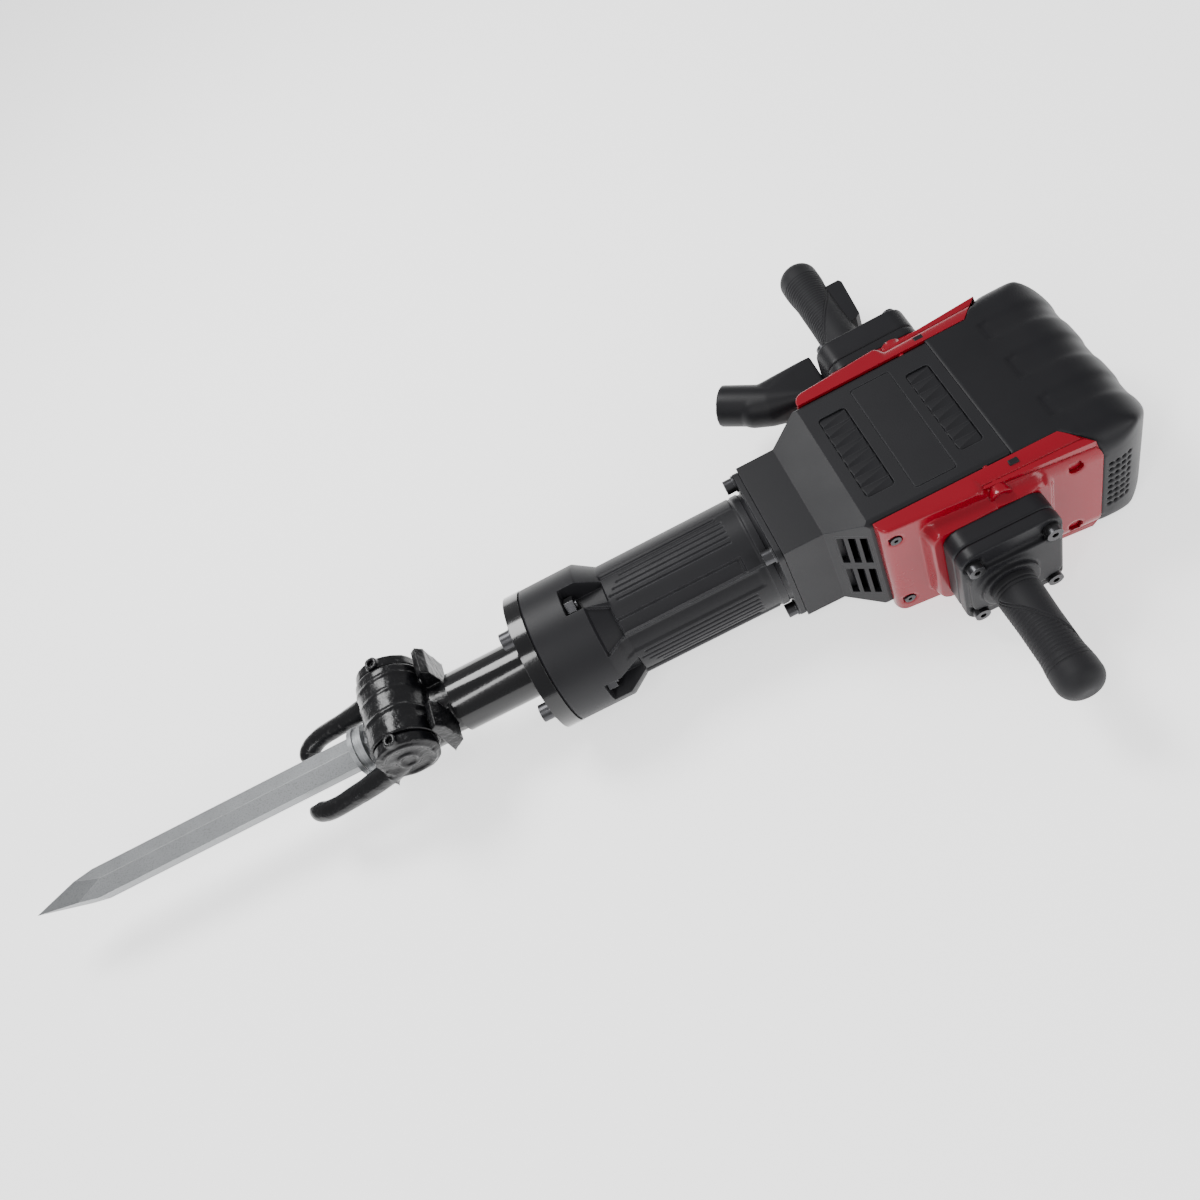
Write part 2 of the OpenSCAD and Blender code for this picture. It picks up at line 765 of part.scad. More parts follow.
function mirrored(points) = concat(points, [for (i = [len(points) - 1 : -1 : 0]) [points[i][0], -points[i][1]]]);

module housing_form(inset, x_end) {
    inner_step = inset > 0 ? 7 : 0;
    start = inset > 0 ? kink_x + inner_step : neck_x;
    plan = inset > 0
        ? [[start, neck_half_width - inset], [shoulder_x, housing_half_width - inset], [x_end, housing_half_width - inset]]
        : concat(housing_plan, [[x_end, housing_half_width]]);
    side = inset > 0
        ? [[start, neck_half_height - inset], [shoulder_x, axis_z - inset], [x_end, axis_z - inset]]
        : concat(housing_side, [[x_end, axis_z]]);
    intersection() {
        plan_prism([-axis_z, axis_z]) polygon(mirrored(plan));
        side_prism([-housing_half_width, housing_half_width]) polygon(mirrored(side));
        front_prism([neck_x, x_end]) round_rect(2 * housing_half_width, body_thickness, 6);
    }
}

louvre_rows = [[shoulder_x + 10, -44], [10, 31]];

// Shallow rounded recesses for the two louvre blocks, and the fine groove round the blank panel between them
module face_recesses() {
    louvre_half_width = 46;
    panel = [-34, 2];
    panel_half_width = 58;
    plan_prism([axis_z - 3, axis_z + 1]) {
        for (row = louvre_rows) translate([(row[0] + row[1]) / 2, 0])
            round_rect(row[1] - row[0], 2 * louvre_half_width, 4);
    }
    plan_prism([axis_z - 0.8, axis_z + 1]) translate([(panel[0] + panel[1]) / 2, 0]) difference() {
        round_rect(panel[1] - panel[0], 2 * panel_half_width, 3);
        round_rect(panel[1] - panel[0] - 2, 2 * panel_half_width - 2, 2);
    }
}

grille_rows = [[-43, -3], [7, 45]];

module grille_window(x, y, grow) {
    block([x[0] - grow, x[1] + grow], y, [grille_rows[0][0] - 3 - grow, grille_rows[1][1] + 3 + grow]);
}

grille_x = [kink_x + 6, shoulder_x - 2];

module gear_housing() {
    color([0.25, 0.25, 0.27]) on_tool_axis() difference() {
        union() {
            difference() {
                housing_form(0, seam_x);
                housing_form(wall, seam_x + 1);
            }
            both_sides() block([seam_x - 1, 88], [housing_half_width - wall, housing_half_width], [-56, 56]);
            mirror([0, 1, 0]) handle_screw_places() rod_y(9, housing_half_width, pedestal_y - cover_thickness - loose);
        }
        rod_x(liner_r, neck_x - 1, kink_x + 20);
        neck_bolt_places() rod_x(4, neck_x - 1, neck_x + 22);
        block([plate_x + 4, 74], [housing_half_width - wall - 1, housing_half_width + 1], [-53, 53]);
        translate([motor_x, 0, 0]) rod_y(bearing_boss_r + loose, -housing_half_width - 1, motor_end_y + 1);
        mirror([0, 1, 0]) handle_screw_places() rod_y(4, housing_half_width + 2, pedestal_y);
        mirror([0, 1, 0]) cover_screw_places() rod_y(2.5, housing_half_width - 4, pedestal_y);
        face_recesses();
        mirror([0, 0, 1]) face_recesses();
        both_sides() grille_window(grille_x, [neck_half_width, housing_half_width], 0);
    }
}

module neck_bolts() {
    rear_flange = 6;
    color("slategray") on_tool_axis() neck_bolt_places() {
        socket_bolt_x(4, 6.3, 8, neck_x - rear_flange - 1.6, neck_x + 20);
        tube_x(7.5, 4, neck_x - rear_flange - 1.6, neck_x - rear_flange);
    }
}

// Ventilation grilles let into the flared sides
module side_grilles() {
    slope = (housing_half_width - neck_half_width) / (shoulder_x - kink_x);
    function flank(x) = neck_half_width + slope * (x - kink_x);
    x0 = grille_x[0];
    x1 = grille_x[1];
    color([0.06, 0.06, 0.07]) on_tool_axis() both_sides() difference() {
        intersection() {
            plan_prism([-60, 60]) polygon([[x0, neck_half_width], [x0, flank(x0)], [x1, flank(x1)], [x1, neck_half_width]]);
            grille_window(grille_x, [neck_half_width, housing_half_width], 0);
        }
        for (row = grille_rows, i = [0 : 2])
            block([x0 + 1.5 + 8 * i, x0 + 6.5 + 8 * i], [neck_half_width - 1, housing_half_width], row);
        plan_prism([-60, 60]) polygon([[x0 - 1, neck_half_width - 1], [x0 - 1, neck_half_width + 0.2], [x0 + 4, flank(x0)- 3],
            [x1 + 1, flank(x1) - 5], [x1 + 1, neck_half_width - 1]]);
    }
}

// Red side covers
module cover_screw_places() {
    for (place = [[-65, 47], [-65, -47], [79, 41], [79, -41], [19, 50], [19, -50]])
        translate([place[0], 0, place[1]]) children();
}

module body_section(inset) { round_rect(2 * (cover_half_width + 1 - inset), body_thickness - 2 * inset, 24 - inset); }

module cover_plan(inset, open) {
    front = shoulder_x + 3;
    inner_y = housing_half_width + loose - open;
    outer_y = cover_half_width - inset;
    gap = 2 * loose + 1.4 * inset;
    polygon([[front + inset, inner_y], [front + inset, 74 - inset / 2],
        [front + 3 + inset / 2, 79 - inset / 2], [front + 9, cover_front_half_width - inset],
        [cap_flank_x(outer_y) - gap, outer_y], [cap_flank_x(inner_y) - gap, inner_y]]);
}

module side_cover() {
    difference() {
        union() {
            difference() {
                intersection() {
                    plan_prism([-axis_z, axis_z]) cover_plan(0, 0);
                    front_prism([shoulder_x, cover_rear_x + 5]) body_section(0);
                }
                intersection() {
                    plan_prism([-axis_z, axis_z]) cover_plan(cover_thickness, 1);
                    front_prism([shoulder_x, cover_rear_x + 5]) body_section(cover_thickness);
                }
            }
            intersection() {
                translate([handle_centre_x, 0, 0]) side_prism([80, pedestal_y]) round_rect(106, 104, 12);
                difference() {
                    block([-60, 80], [80, pedestal_y], [-60, 60]);
                    translate([handle_centre_x, 0, 0]) side_prism([70, pedestal_y - cover_thickness]) round_rect(98, 96, 8);
                }
            }
            intersection() {
                plan_prism([-axis_z, axis_z]) cover_plan(1, 0);
                union() {
                    for (sz = [-1, 1]) translate([19, 0, sz * 50]) rod_y(9, housing_half_width + 6, 92);
                    for (sz = [-1, 1], x = [-65, 79])
                        translate([x, 0, sz * (x < 0 ? 47 : 41)]) rod_y(7, plate_y + plate_thickness, 84);
                }
            }
        }
        block([plate_x - 0.3, 89], [plate_y - 1, plate_y + plate_thickness + loose], [-56.3, 56.3]);
        handle_screw_places() rod_y(4.5, 60, 110);
        handle_screw_places() rod_y(9.3, 60, pedestal_y - cover_thickness);
        cover_screw_places() {
            rod_y(2.7, 60, 110);
            rod_y(5, plate_y + plate_thickness + 5, 110);
        }
        for (centre = [crank_x, intermediate_x, motor_x]) translate([centre, 0, 0]) rod_y(28, 60, 79);
    }
}

module right_cover() { color("crimson") on_tool_axis() mirror([0, 1, 0]) side_cover(); }

module left_cover() { color("crimson") on_tool_axis() side_cover(); }

module cover_screws() {
    seat = plate_y + plate_thickness + 5;
    color("gray") on_tool_axis() both_sides() cover_screw_places() difference() {
        union() {
            rod_y(2.5, plate_y + 0.5, seat);
            rod_y(4.6, seat, seat + 4);
        }
        translate([0, seat + 2, 0]) rotate([-90, 0, 0]) cylinder(r = 2, h = 4, $fn = 6);
    }
}

// Rear cap over the motor, with flutes over its crown and a field of air holes at each rear corner
cap_plan_corner_r = 45;
cap_side_corner_r = 44;

function cap_flank_x(y) = cover_corner_x + loose
    + (y - housing_half_width) * (cover_rear_x - cover_corner_x) / (cover_half_width - housing_half_width);

module cap_plan(inset) {
    outside = cover_half_width + 20;
    lip = housing_half_width - inset / 2;
    front = inset > 0 ? seam_x - 1 : seam_x + loose;
    intersection() {
        polygon(mirrored([[front, lip], [cap_flank_x(lip) + 1.4 * inset, lip],
            [cap_flank_x(outside) + 1.4 * inset, outside], [cap_reach + 10, outside]]));
        translate([cap_reach - 150, 0]) round_rect(300 - 2 * inset, 2 * (cover_half_width - inset), cap_plan_corner_r - inset);
    }
}

module cap_side(inset) {
    intersection() {
        translate([seam_x - 2, -axis_z - 1]) square([cap_reach - seam_x + 10, 2 * axis_z + 2]);
        translate([cap_reach - 100, 0]) round_rect(200 - 2 * inset, 2 * (axis_z - inset), cap_side_corner_r - inset);
    }
}

module cap_form(inset) {
    intersection() {
        plan_prism([-axis_z, axis_z]) cap_plan(inset);
        side_prism([-cover_half_width - 1, cover_half_width + 1]) cap_side(inset);
        front_prism([seam_x - 3, cap_reach + 1]) body_section(inset);
    }
}

module cap_flutes() {
    for (band = [[-56, -34], [-10, 14], [38, 58]]) side_prism(band) difference() {
        translate([82, -axis_z - 1]) square([cap_reach - 80, body_thickness + 2]);
        cap_side(1.5);
    }
}

module air_holes() {
    for (i = [0 : 3], j = [0 : 7]) translate([107 + 5.4 * i, 0, 27 - 8 * j]) rod_y(2, 60, 100);
}

module rear_cap() {
    color([0.25, 0.25, 0.27]) on_tool_axis() difference() {
        cap_form(0);
        cap_form(cover_thickness);
        both_sides() block([seam_x - 3, 89], [60, cover_half_width + 1], [-56.5, 56.5]);
        cap_flutes();
        both_sides() air_holes();
    }
}

// Handles
module handle_plate(y0, y1, r) {
    translate([handle_centre_x, 0, 0]) side_prism([y0, y1]) round_rect(84, 96, r);
}

module handle_core(flange_y, reach) {
    difference() {
        rod_y(handle_core_r, flange_y - 1, reach - 22);
        rod_y(handle_core_r - 4, flange_y + 4, reach - 21);
    }
}

module spacer(y1) {
    difference() {
        handle_plate(pedestal_y, y1, 14);
        translate([handle_centre_x, 0, 0]) side_prism([pedestal_y - 1, y1 + 1]) round_rect(40, 52, 6);
        handle_screw_places() rod_y(4.5, 80, 120);
    }
}

// Rubber grip: a slightly waisted sleeve with a bulging, rounded end
module grip_sleeve(y0, y1) {
    end_r = grip_r + 1.5;
    waist_r = grip_r - 1;
    length = y1 - y0;
    translate([0, y0, 0]) rotate([-90, 0, 0]) difference() {
        rotate_extrude() polygon([[0, 0], [grip_r, 0], [grip_r, 6], [waist_r, length * 0.4],
            [grip_r - 0.5, length - 38], [end_r, length - 22], [end_r, length - 12], [end_r - 2, length - 5],
            [end_r - 6, length - 1.5], [end_r - 11, length], [0, length]]);
        translate([0, 0, -1]) cylinder(r = handle_core_r, h = length - 21);
    }
}

module right_spacer() { color([0.05, 0.05, 0.06]) on_tool_axis() mirror([0, 1, 0]) spacer(pedestal_y + spacer_thickness); }

module left_spacer() { color([0.05, 0.05, 0.06]) on_tool_axis() spacer(pedestal_y + 10); }

module flange_holes(y0, y1, pocket_y) {
    handle_screw_places() {
        rod_y(4.5, y0 - 1, y1 + 1);
        rod_y(8.5, pocket_y, y1 + 20);
    }
}

module right_handle() {
    color([0.16, 0.16, 0.17]) on_tool_axis() mirror([0, 1, 0]) {
        difference() {
            union() {
                handle_plate(pedestal_y + spacer_thickness, plain_flange_y - 5, 14);
                translate([handle_centre_x, 0, 0]) side_prism([plain_flange_y - 6, plain_flange_y]) round_rect(76, 60, 12);
                rod_y(24, plain_flange_y - 1, plain_flange_y + 6);
            }
            flange_holes(pedestal_y + spacer_thickness, plain_flange_y, plain_flange_y - 6);
        }
        handle_core(plain_flange_y + 6, plain_handle_reach);
    }
}

module right_grip() {
    color([0.13, 0.13, 0.14]) on_tool_axis() mirror([0, 1, 0]) grip_sleeve(plain_flange_y + 6, plain_handle_reach);
}

trigger_slot_x = 4;

module trigger_slot(y0, y1) {
    block([trigger_slot_x, 60], [y0, y1], [-trigger_half_width - loose, trigger_half_width + loose]);
}

module left_handle() {
    box_y = pedestal_y + 10;
    color([0.16, 0.16, 0.17]) on_tool_axis() {
        difference() {
            union() {
                handle_plate(box_y, switch_flange_y - 5, 14);
                translate([handle_centre_x, 0, 0]) side_prism([switch_flange_y - 6, switch_flange_y]) round_rect(76, 60, 12);
                rod_y(24, switch_flange_y - 1, switch_flange_y + 8);
            }
            flange_holes(box_y, switch_flange_y, switch_flange_y - 6);
            translate([handle_centre_x, 0, 0]) side_prism([box_y - 1, switch_flange_y - 8]) round_rect(44, 56, 4);
        }
        difference() {
            handle_core(switch_flange_y + 8, switch_handle_reach);
            trigger_slot(trigger_y[0] - 4, trigger_y[1] + 2);
        }
    }
}

module left_grip() {
    color([0.13, 0.13, 0.14]) on_tool_axis() difference() {
        grip_sleeve(switch_flange_y + 8, switch_handle_reach);
        trigger_slot(trigger_y[0] - 4, trigger_y[1] + 2);
    }
}

module handle_screws() {
    module screw(head_seat, depth) {
        difference() {
            union() {
                rod_y(4, depth, head_seat);
                rod_y(6.5, head_seat, head_seat + 8);
            }
            translate([0, head_seat + 4, 0]) rotate([-90, 0, 0]) cylinder(r = 3, h = 5, $fn = 6);
        }
    }
    color("slategray") on_tool_axis() {
        mirror([0, 1, 0]) handle_screw_places() screw(plain_flange_y - 6, 76);
        handle_screw_places() screw(switch_flange_y - 6, 76);
    }
}

// Trigger paddle, hinged at its inner end and pushed towards the handle axis
trigger_pivot = [14, trigger_y[0] + 4];

module trigger() {
    color([0.08, 0.08, 0.09]) on_tool_axis() difference() {
        plan_prism([-trigger_half_width, trigger_half_width])
            polygon([[11, trigger_y[0]], [22, trigger_y[0]], [27, trigger_y[0] + 4], [31, trigger_y[1] - 4],
                [29, trigger_y[1]], [12, trigger_y[1]], [12, trigger_y[0] + 10], [11, trigger_y[0] + 8]]);
        translate([trigger_pivot[0], trigger_pivot[1], 0]) rod_z(1.5 + running, -20, 20);
    }
}

module trigger_pin() {
    color("silver") on_tool_axis() translate([trigger_pivot[0], trigger_pivot[1], 0])
        rod_z(1.5, -trigger_half_width - loose, trigger_half_width + loose);
}

module switch_block() {
    color([0.2, 0.2, 0.2]) on_tool_axis() block([-8, 22], [pedestal_y + 11, switch_flange_y - 9], [-20, 20]);
}

// Cable guard: a broad root on the switch box, then a bent open tube
guard_r = 19.5;
guard_bore_r = 15;
guard_bend = [-86, 138];
guard_angle = 145;
guard_length = 48;

module cable_guard() {
    root_x = handle_centre_x - 42;
    color([0.15, 0.15, 0.16]) on_tool_axis() difference() {
        union() {
            translate([guard_bend[0], guard_bend[1], 0]) rotate([0, 0, guard_angle]) rod_x(guard_r, 0, guard_length);
            hull() {
                translate([guard_bend[0], guard_bend[1], 0]) sphere(r = guard_r, $fn = 32);
                translate([-100, 144, 0]) sphere(r = guard_r - 1, $fn = 32);
                block([root_x - 6, root_x], [pedestal_y + 13, switch_flange_y + 18], [-16, 16]);
            }
        }
        translate([guard_bend[0], guard_bend[1], 0]) rotate([0, 0, guard_angle]) rod_x(guard_bore_r, 4, guard_length + 1);
    }
}

chisel();
tool_holder();
latch();
latch_pin();
latch_set_screws();
nose_sleeve();
shank_bushing();
front_seal();
front_flange();
flange_bolts();
flange_nuts();
barrel_housing();
bolt_bushing();
impact_bolt();
stop_ring();
cylinder_liner();  // cylinder
striker();
striker_rings();
piston();
piston_ring();
wrist_pin();
connecting_rod();
rod_bearing();
crankshaft();
crank_gear();
crank_bearings();
intermediate_shaft();
intermediate_gear();
intermediate_bearings();
armature_shaft();
armature_core();
armature_windings();
commutator();
cooling_fan();
armature_bearings();
stator();
field_coils();
motor_housing();
brush_holders();
carbon_brushes();
bearing_frame();
bearing_plate();
gear_housing();
neck_bolts();
side_grilles();
right_cover();
left_cover();
cover_screws();
rear_cap();
right_spacer();
right_handle();
right_grip();
left_spacer();
left_handle();
left_grip();
handle_screws();
trigger();
trigger_pin();
switch_block();
cable_guard();
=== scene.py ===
"""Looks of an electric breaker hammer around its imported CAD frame, in that frame's axes: +X runs along
the tool axis from chisel to motor, +Y along the handles, +Z up from the floor. Lengths handed to Blender
are metres. Many shape values are mm and say so, and MM turns them into metres."""

import json
import math

import bmesh
import bpy
from mathutils import Euler, Matrix, Vector, noise

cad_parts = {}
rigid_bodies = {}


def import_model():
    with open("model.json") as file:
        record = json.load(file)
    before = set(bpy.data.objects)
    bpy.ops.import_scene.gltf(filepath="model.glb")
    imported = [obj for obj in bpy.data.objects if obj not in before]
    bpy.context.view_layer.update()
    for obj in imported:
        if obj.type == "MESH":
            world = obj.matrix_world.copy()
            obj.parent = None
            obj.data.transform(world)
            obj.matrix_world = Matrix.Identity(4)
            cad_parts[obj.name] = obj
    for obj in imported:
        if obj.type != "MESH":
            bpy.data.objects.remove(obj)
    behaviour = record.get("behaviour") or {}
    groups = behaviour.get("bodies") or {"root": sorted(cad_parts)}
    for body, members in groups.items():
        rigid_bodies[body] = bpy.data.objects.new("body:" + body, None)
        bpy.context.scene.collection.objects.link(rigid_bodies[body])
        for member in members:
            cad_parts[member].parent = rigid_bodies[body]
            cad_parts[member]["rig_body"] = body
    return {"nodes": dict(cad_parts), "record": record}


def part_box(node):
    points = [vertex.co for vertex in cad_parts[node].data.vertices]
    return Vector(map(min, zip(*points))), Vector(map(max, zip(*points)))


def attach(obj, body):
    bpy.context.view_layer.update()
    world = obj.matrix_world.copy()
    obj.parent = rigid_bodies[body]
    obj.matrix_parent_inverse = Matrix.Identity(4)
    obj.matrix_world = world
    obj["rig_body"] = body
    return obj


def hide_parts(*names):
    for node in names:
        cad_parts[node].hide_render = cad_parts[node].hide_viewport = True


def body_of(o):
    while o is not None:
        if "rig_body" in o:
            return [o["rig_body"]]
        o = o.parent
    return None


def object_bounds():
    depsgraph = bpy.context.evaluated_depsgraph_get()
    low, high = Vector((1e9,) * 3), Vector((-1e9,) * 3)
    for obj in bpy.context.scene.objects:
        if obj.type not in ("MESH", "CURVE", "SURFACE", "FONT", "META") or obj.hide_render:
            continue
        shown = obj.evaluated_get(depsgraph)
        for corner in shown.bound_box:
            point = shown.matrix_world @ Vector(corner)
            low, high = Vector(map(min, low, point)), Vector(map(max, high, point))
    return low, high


MM = 0.001

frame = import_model()
cad_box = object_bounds()
nodes = frame["nodes"]

AXIS_Z = 0.064
HALF_DEPTH = 64  # mm from the tool axis to the flat faces
FLOOR_GLOW = 1.25


# ---------------------------------------------------------------- camera, floor and light


CAMERA_PLACE = (-0.1917, -0.5361, 0.8605)
# degrees about the X, Y and Z axes in turn, from a camera that looks straight down
CAMERA_TURN = (30.27, 20.29, -19.44)
CAMERA_LENS, SENSOR_WIDTH = 32.9, 36  # mm


def make_camera():
    """A camera beside and above the tool, on its right, that looks across it and down."""
    data = bpy.data.cameras.new("camera")
    data.lens = CAMERA_LENS
    data.sensor_width = SENSOR_WIDTH
    camera = bpy.data.objects.new("camera", data)
    bpy.context.scene.collection.objects.link(camera)
    turn = Euler([math.radians(angle) for angle in CAMERA_TURN])
    camera.matrix_world = Matrix.Translation(CAMERA_PLACE) @ turn.to_matrix().to_4x4()
    data.clip_start = 0.01
    data.clip_end = 50
    bpy.context.scene.camera = camera


def make_light(name, place, target, size, power, colour=(1, 1, 1)):
    data = bpy.data.lights.new(name, "AREA")
    data.shape = "RECTANGLE"
    data.size, data.size_y = size
    data.energy = power
    data.color = colour
    light = bpy.data.objects.new(name, data)
    light.location = place
    light.rotation_euler = (Vector(target) - Vector(place)).to_track_quat("-Z", "Y").to_euler()
    bpy.context.scene.collection.objects.link(light)


def make_world(brightness):
    world = bpy.data.worlds.new("studio")
    world.use_nodes = True
    background = world.node_tree.nodes["Background"]
    background.inputs["Color"].default_value = (1, 1, 1, 1)
    background.inputs["Strength"].default_value = brightness
    bpy.context.scene.world = world


def make_floor():
    mesh = bpy.data.meshes.new("floor")
    reach = 14
    gap = 0.0005
    corners = [(-reach, -reach, 0), (reach, -reach, 0), (reach, reach, 0), (-reach, reach, 0)]
    mesh.from_pydata(corners, [], [(0, 1, 2, 3)])
    floor = bpy.data.objects.new("floor", mesh)
    floor.location.z = cad_box[0].z - gap
    bpy.context.scene.collection.objects.link(floor)
    pale = make_material("pale_floor", (0.95, 0.95, 0.95), 0.9, specular=0.0, blotch=0.01, edge_width=0)
    glow = pale.node_tree.nodes["Principled BSDF"]
    glow.inputs["Emission Color"].default_value = (1, 1, 1, 1)
    glow.inputs["Emission Strength"].default_value = FLOOR_GLOW
    floor.data.materials.append(pale)


# ---------------------------------------------------------------- materials


ROUGH_SPREAD = 0.08


def add_node(tree, kind, links=None, **settings):
    """A shader node. links gives each input, by name or index, a socket to read or a plain value."""
    made = tree.nodes.new(kind)
    for key, value in settings.items():
        setattr(made, key, value)
    for key, value in (links or {}).items():
        if isinstance(value, bpy.types.NodeSocket):
            tree.links.new(value, made.inputs[key])
        else:
            made.inputs[key].default_value = value
    return made


def scaled(colour, factor):
    """A brighter or darker colour, with its alpha."""
    return tuple(min(1, c * factor) for c in colour) + (1,)


def make_material(name, colour, rough, metal=0.0, blotch=0.10, blotch_scale=18, grain=0.0, grain_scale=1400,
                  lumps=0.0, lump_scale=160, edge=None, edge_width=0.0007, coat=0.0, coat_rough=0.1,
                  specular=0.5, speckle=None, ribs=None):
    """A finish with broad colour and roughness changes, fine grain, cast lumps, speckle, and edges lightened
    partly by wear and partly by painted highlight.
    """
    material = bpy.data.materials.new(name)
    material.use_nodes = True
    tree = material.node_tree
    shader = tree.nodes["Principled BSDF"]
    place = add_node(tree, "ShaderNodeTexCoord").outputs["Object"]
    broad = add_node(tree, "ShaderNodeTexNoise",
                     {"Vector": place, "Scale": blotch_scale, "Detail": 5.0, "Roughness": 0.6})
    shade = mix_colour(tree, broad.outputs["Fac"], scaled(colour, 1 - blotch), scaled(colour, 1 + blotch))
    if speckle:
        speck_colour, speck_scale, amount = speckle
        dots = add_node(tree, "ShaderNodeTexNoise", {"Vector": place, "Scale": speck_scale, "Detail": 2.0})
        mask = add_node(tree, "ShaderNodeMapRange",
                        {"Value": dots.outputs["Fac"], "From Min": 0.52, "From Max": 0.66, "To Max": amount})
        shade = mix_colour(tree, mask.outputs["Result"], shade, (*speck_colour, 1))
    soft_edge = None
    if edge_width:
        soft_edge = add_node(tree, "ShaderNodeBevel", {"Radius": edge_width}, samples=4).outputs["Normal"]
    # lighter colour along the edges, partly wear and partly painted highlight
    if edge:
        edge_colour, amount = edge
        flat = add_node(tree, "ShaderNodeNewGeometry").outputs["Normal"]
        facing = add_node(tree, "ShaderNodeVectorMath", {0: soft_edge, 1: flat}, operation="DOT_PRODUCT")
        rim = add_node(tree, "ShaderNodeMapRange",
                       {"Value": facing.outputs["Value"], "From Min": 0.995, "From Max": 0.90,
                        "To Max": amount})
        patch = add_node(tree, "ShaderNodeTexNoise", {"Vector": place, "Scale": 60.0, "Detail": 4.0})
        edge_wear_and_highlight = add_node(tree, "ShaderNodeMath", {0: rim.outputs["Result"], 1: patch.outputs["Fac"]},
                        operation="MULTIPLY")
        shade = mix_colour(tree, edge_wear_and_highlight.outputs[0], shade, (*edge_colour, 1))
    tree.links.new(shade, shader.inputs["Base Color"])
    uneven = add_node(tree, "ShaderNodeMapRange",
                      {"Value": broad.outputs["Fac"], "To Min": max(0.02, rough - ROUGH_SPREAD),
                       "To Max": min(1, rough + ROUGH_SPREAD)})
    tree.links.new(uneven.outputs["Result"], shader.inputs["Roughness"])
    shader.inputs["Metallic"].default_value = metal
    shader.inputs["Specular IOR Level"].default_value = specular
    shader.inputs["Coat Weight"].default_value = coat
    shader.inputs["Coat Roughness"].default_value = coat_rough
    normal = soft_edge
    for strength, scale, detail in ((lumps, lump_scale, 3.0), (grain, grain_scale, 2.0)):
        if strength:
            relief = add_node(tree, "ShaderNodeTexNoise", {"Vector": place, "Scale": scale, "Detail": detail})
            bump = add_node(tree, "ShaderNodeBump", {"Height": relief.outputs["Fac"], "Strength": strength,
                                                     "Distance": 0.35 / scale})
            if normal:
                tree.links.new(normal, bump.inputs["Normal"])
            normal = bump.outputs["Normal"]
    if ribs:
        axis, pitch, strength = ribs
        wave = add_node(tree, "ShaderNodeTexWave",
                        {"Vector": place, "Scale": 1 / pitch / 3.2, "Distortion": 0.0}, bands_direction=axis)
        bump = add_node(tree, "ShaderNodeBump",
                        {"Height": wave.outputs["Fac"], "Strength": strength, "Distance": pitch / 4})
        if normal:
            tree.links.new(normal, bump.inputs["Normal"])
        normal = bump.outputs["Normal"]
    if normal:
        tree.links.new(normal, shader.inputs["Normal"])
    return material


def mix_colour(tree, factor, a, b):
    """Blends two colours. A Mix node's colour sockets come after its number and vector sockets."""
    mix = tree.nodes.new("ShaderNodeMix")
    mix.data_type = "RGBA"
    for index, value in ((0, factor), (6, a), (7, b)):
        if isinstance(value, bpy.types.NodeSocket):
            tree.links.new(value, mix.inputs[index])
        else:
            mix.inputs[index].default_value = value
    return mix.outputs[2]


# edge gives the lighter edge colour and its amount, partly wear and partly painted highlight
FINISHES = {
    "chisel_steel": dict(
        colour=(0.30, 0.31, 0.32), rough=0.50, metal=0.75, blotch=0.12, blotch_scale=40, grain=0.55,
        grain_scale=1500, speckle=((0.16, 0.16, 0.16), 900, 0.55), edge=((0.85, 0.85, 0.86), 1.5),
        edge_width=0.0006),
    "black_casting": dict(
        colour=(0.004, 0.004, 0.005), rough=0.27, specular=0.2, blotch=0.35, lumps=0.55, lump_scale=170,
        grain=0.25, grain_scale=700, coat=0.3, coat_rough=0.15, edge=((0.07, 0.07, 0.07), 0.6),
        edge_width=0.0015),
    "gloss_black_metal": dict(
        colour=(0.004, 0.004, 0.005), rough=0.16, specular=0.3, coat=0.35, coat_rough=0.06, grain=0.04,
        grain_scale=300, edge=((0.12, 0.12, 0.12), 0.8)),
    "charcoal_casting": dict(
        colour=(0.013, 0.013, 0.015), rough=0.46, specular=0.22, blotch=0.12, grain=0.22, grain_scale=1100,
        edge=((0.10, 0.10, 0.11), 0.8), edge_width=0.0009),
    "red_shell": dict(
        colour=(0.24, 0.001, 0.011), rough=0.25, specular=0.22, blotch=0.06, grain=0.05, grain_scale=500,
        coat=0.25, coat_rough=0.10, edge=((0.60, 0.02, 0.04), 0.5), edge_width=0.0012),
    "black_plastic": dict(
        colour=(0.010, 0.010, 0.012), rough=0.44, specular=0.22, blotch=0.12, grain=0.18, grain_scale=1500,
        edge=((0.07, 0.07, 0.075), 0.7)),
    "grip_rubber": dict(
        colour=(0.014, 0.014, 0.016), rough=0.62, specular=0.25, blotch=0.12, grain=0.35, grain_scale=1600,
        edge=((0.06, 0.06, 0.06), 0.5)),
    "dark_fastener": dict(
        colour=(0.06, 0.06, 0.064), rough=0.36, metal=0.9, blotch=0.2, grain=0.15,
        edge=((0.30, 0.30, 0.31), 1.0), edge_width=0.0004),
    "machine_steel": dict(colour=(0.55, 0.56, 0.58), rough=0.28, metal=1.0, blotch=0.08, grain=0.05),
    "bronze": dict(colour=(0.55, 0.32, 0.12), rough=0.35, metal=1.0, blotch=0.15, grain=0.08),
    "copper_winding": dict(colour=(0.50, 0.17, 0.06), rough=0.35, metal=0.8, ribs=("Y", 0.0012, 0.6)),
}

MATERIALS = {name: make_material(name, **finish) for name, finish in FINISHES.items()}


# ---------------------------------------------------------------- mesh helpers


def smoothstep(low, high, value):
    """0 below low, 1 above high and a smooth rise between."""
    t = min(1.0, max(0.0, (value - low) / (high - low)))
    return t * t * (3 - 2 * t)


def ramp(low, high, value):
    """0 at low, 1 at high, straight between and held outside."""
    return min(1.0, max(0.0, (value - low) / (high - low)))


def band(low, high, soft, value):
    """1 between low and high, falling to 0 over the distance soft outside them."""
    return smoothstep(low - soft, low, value) * (1 - smoothstep(high, high + soft, value))


def spread(low, high, count):
    """Evenly spaced values with both ends."""
    return [low + (high - low) * i / (count - 1) for i in range(count)]


WELD = 0.00001


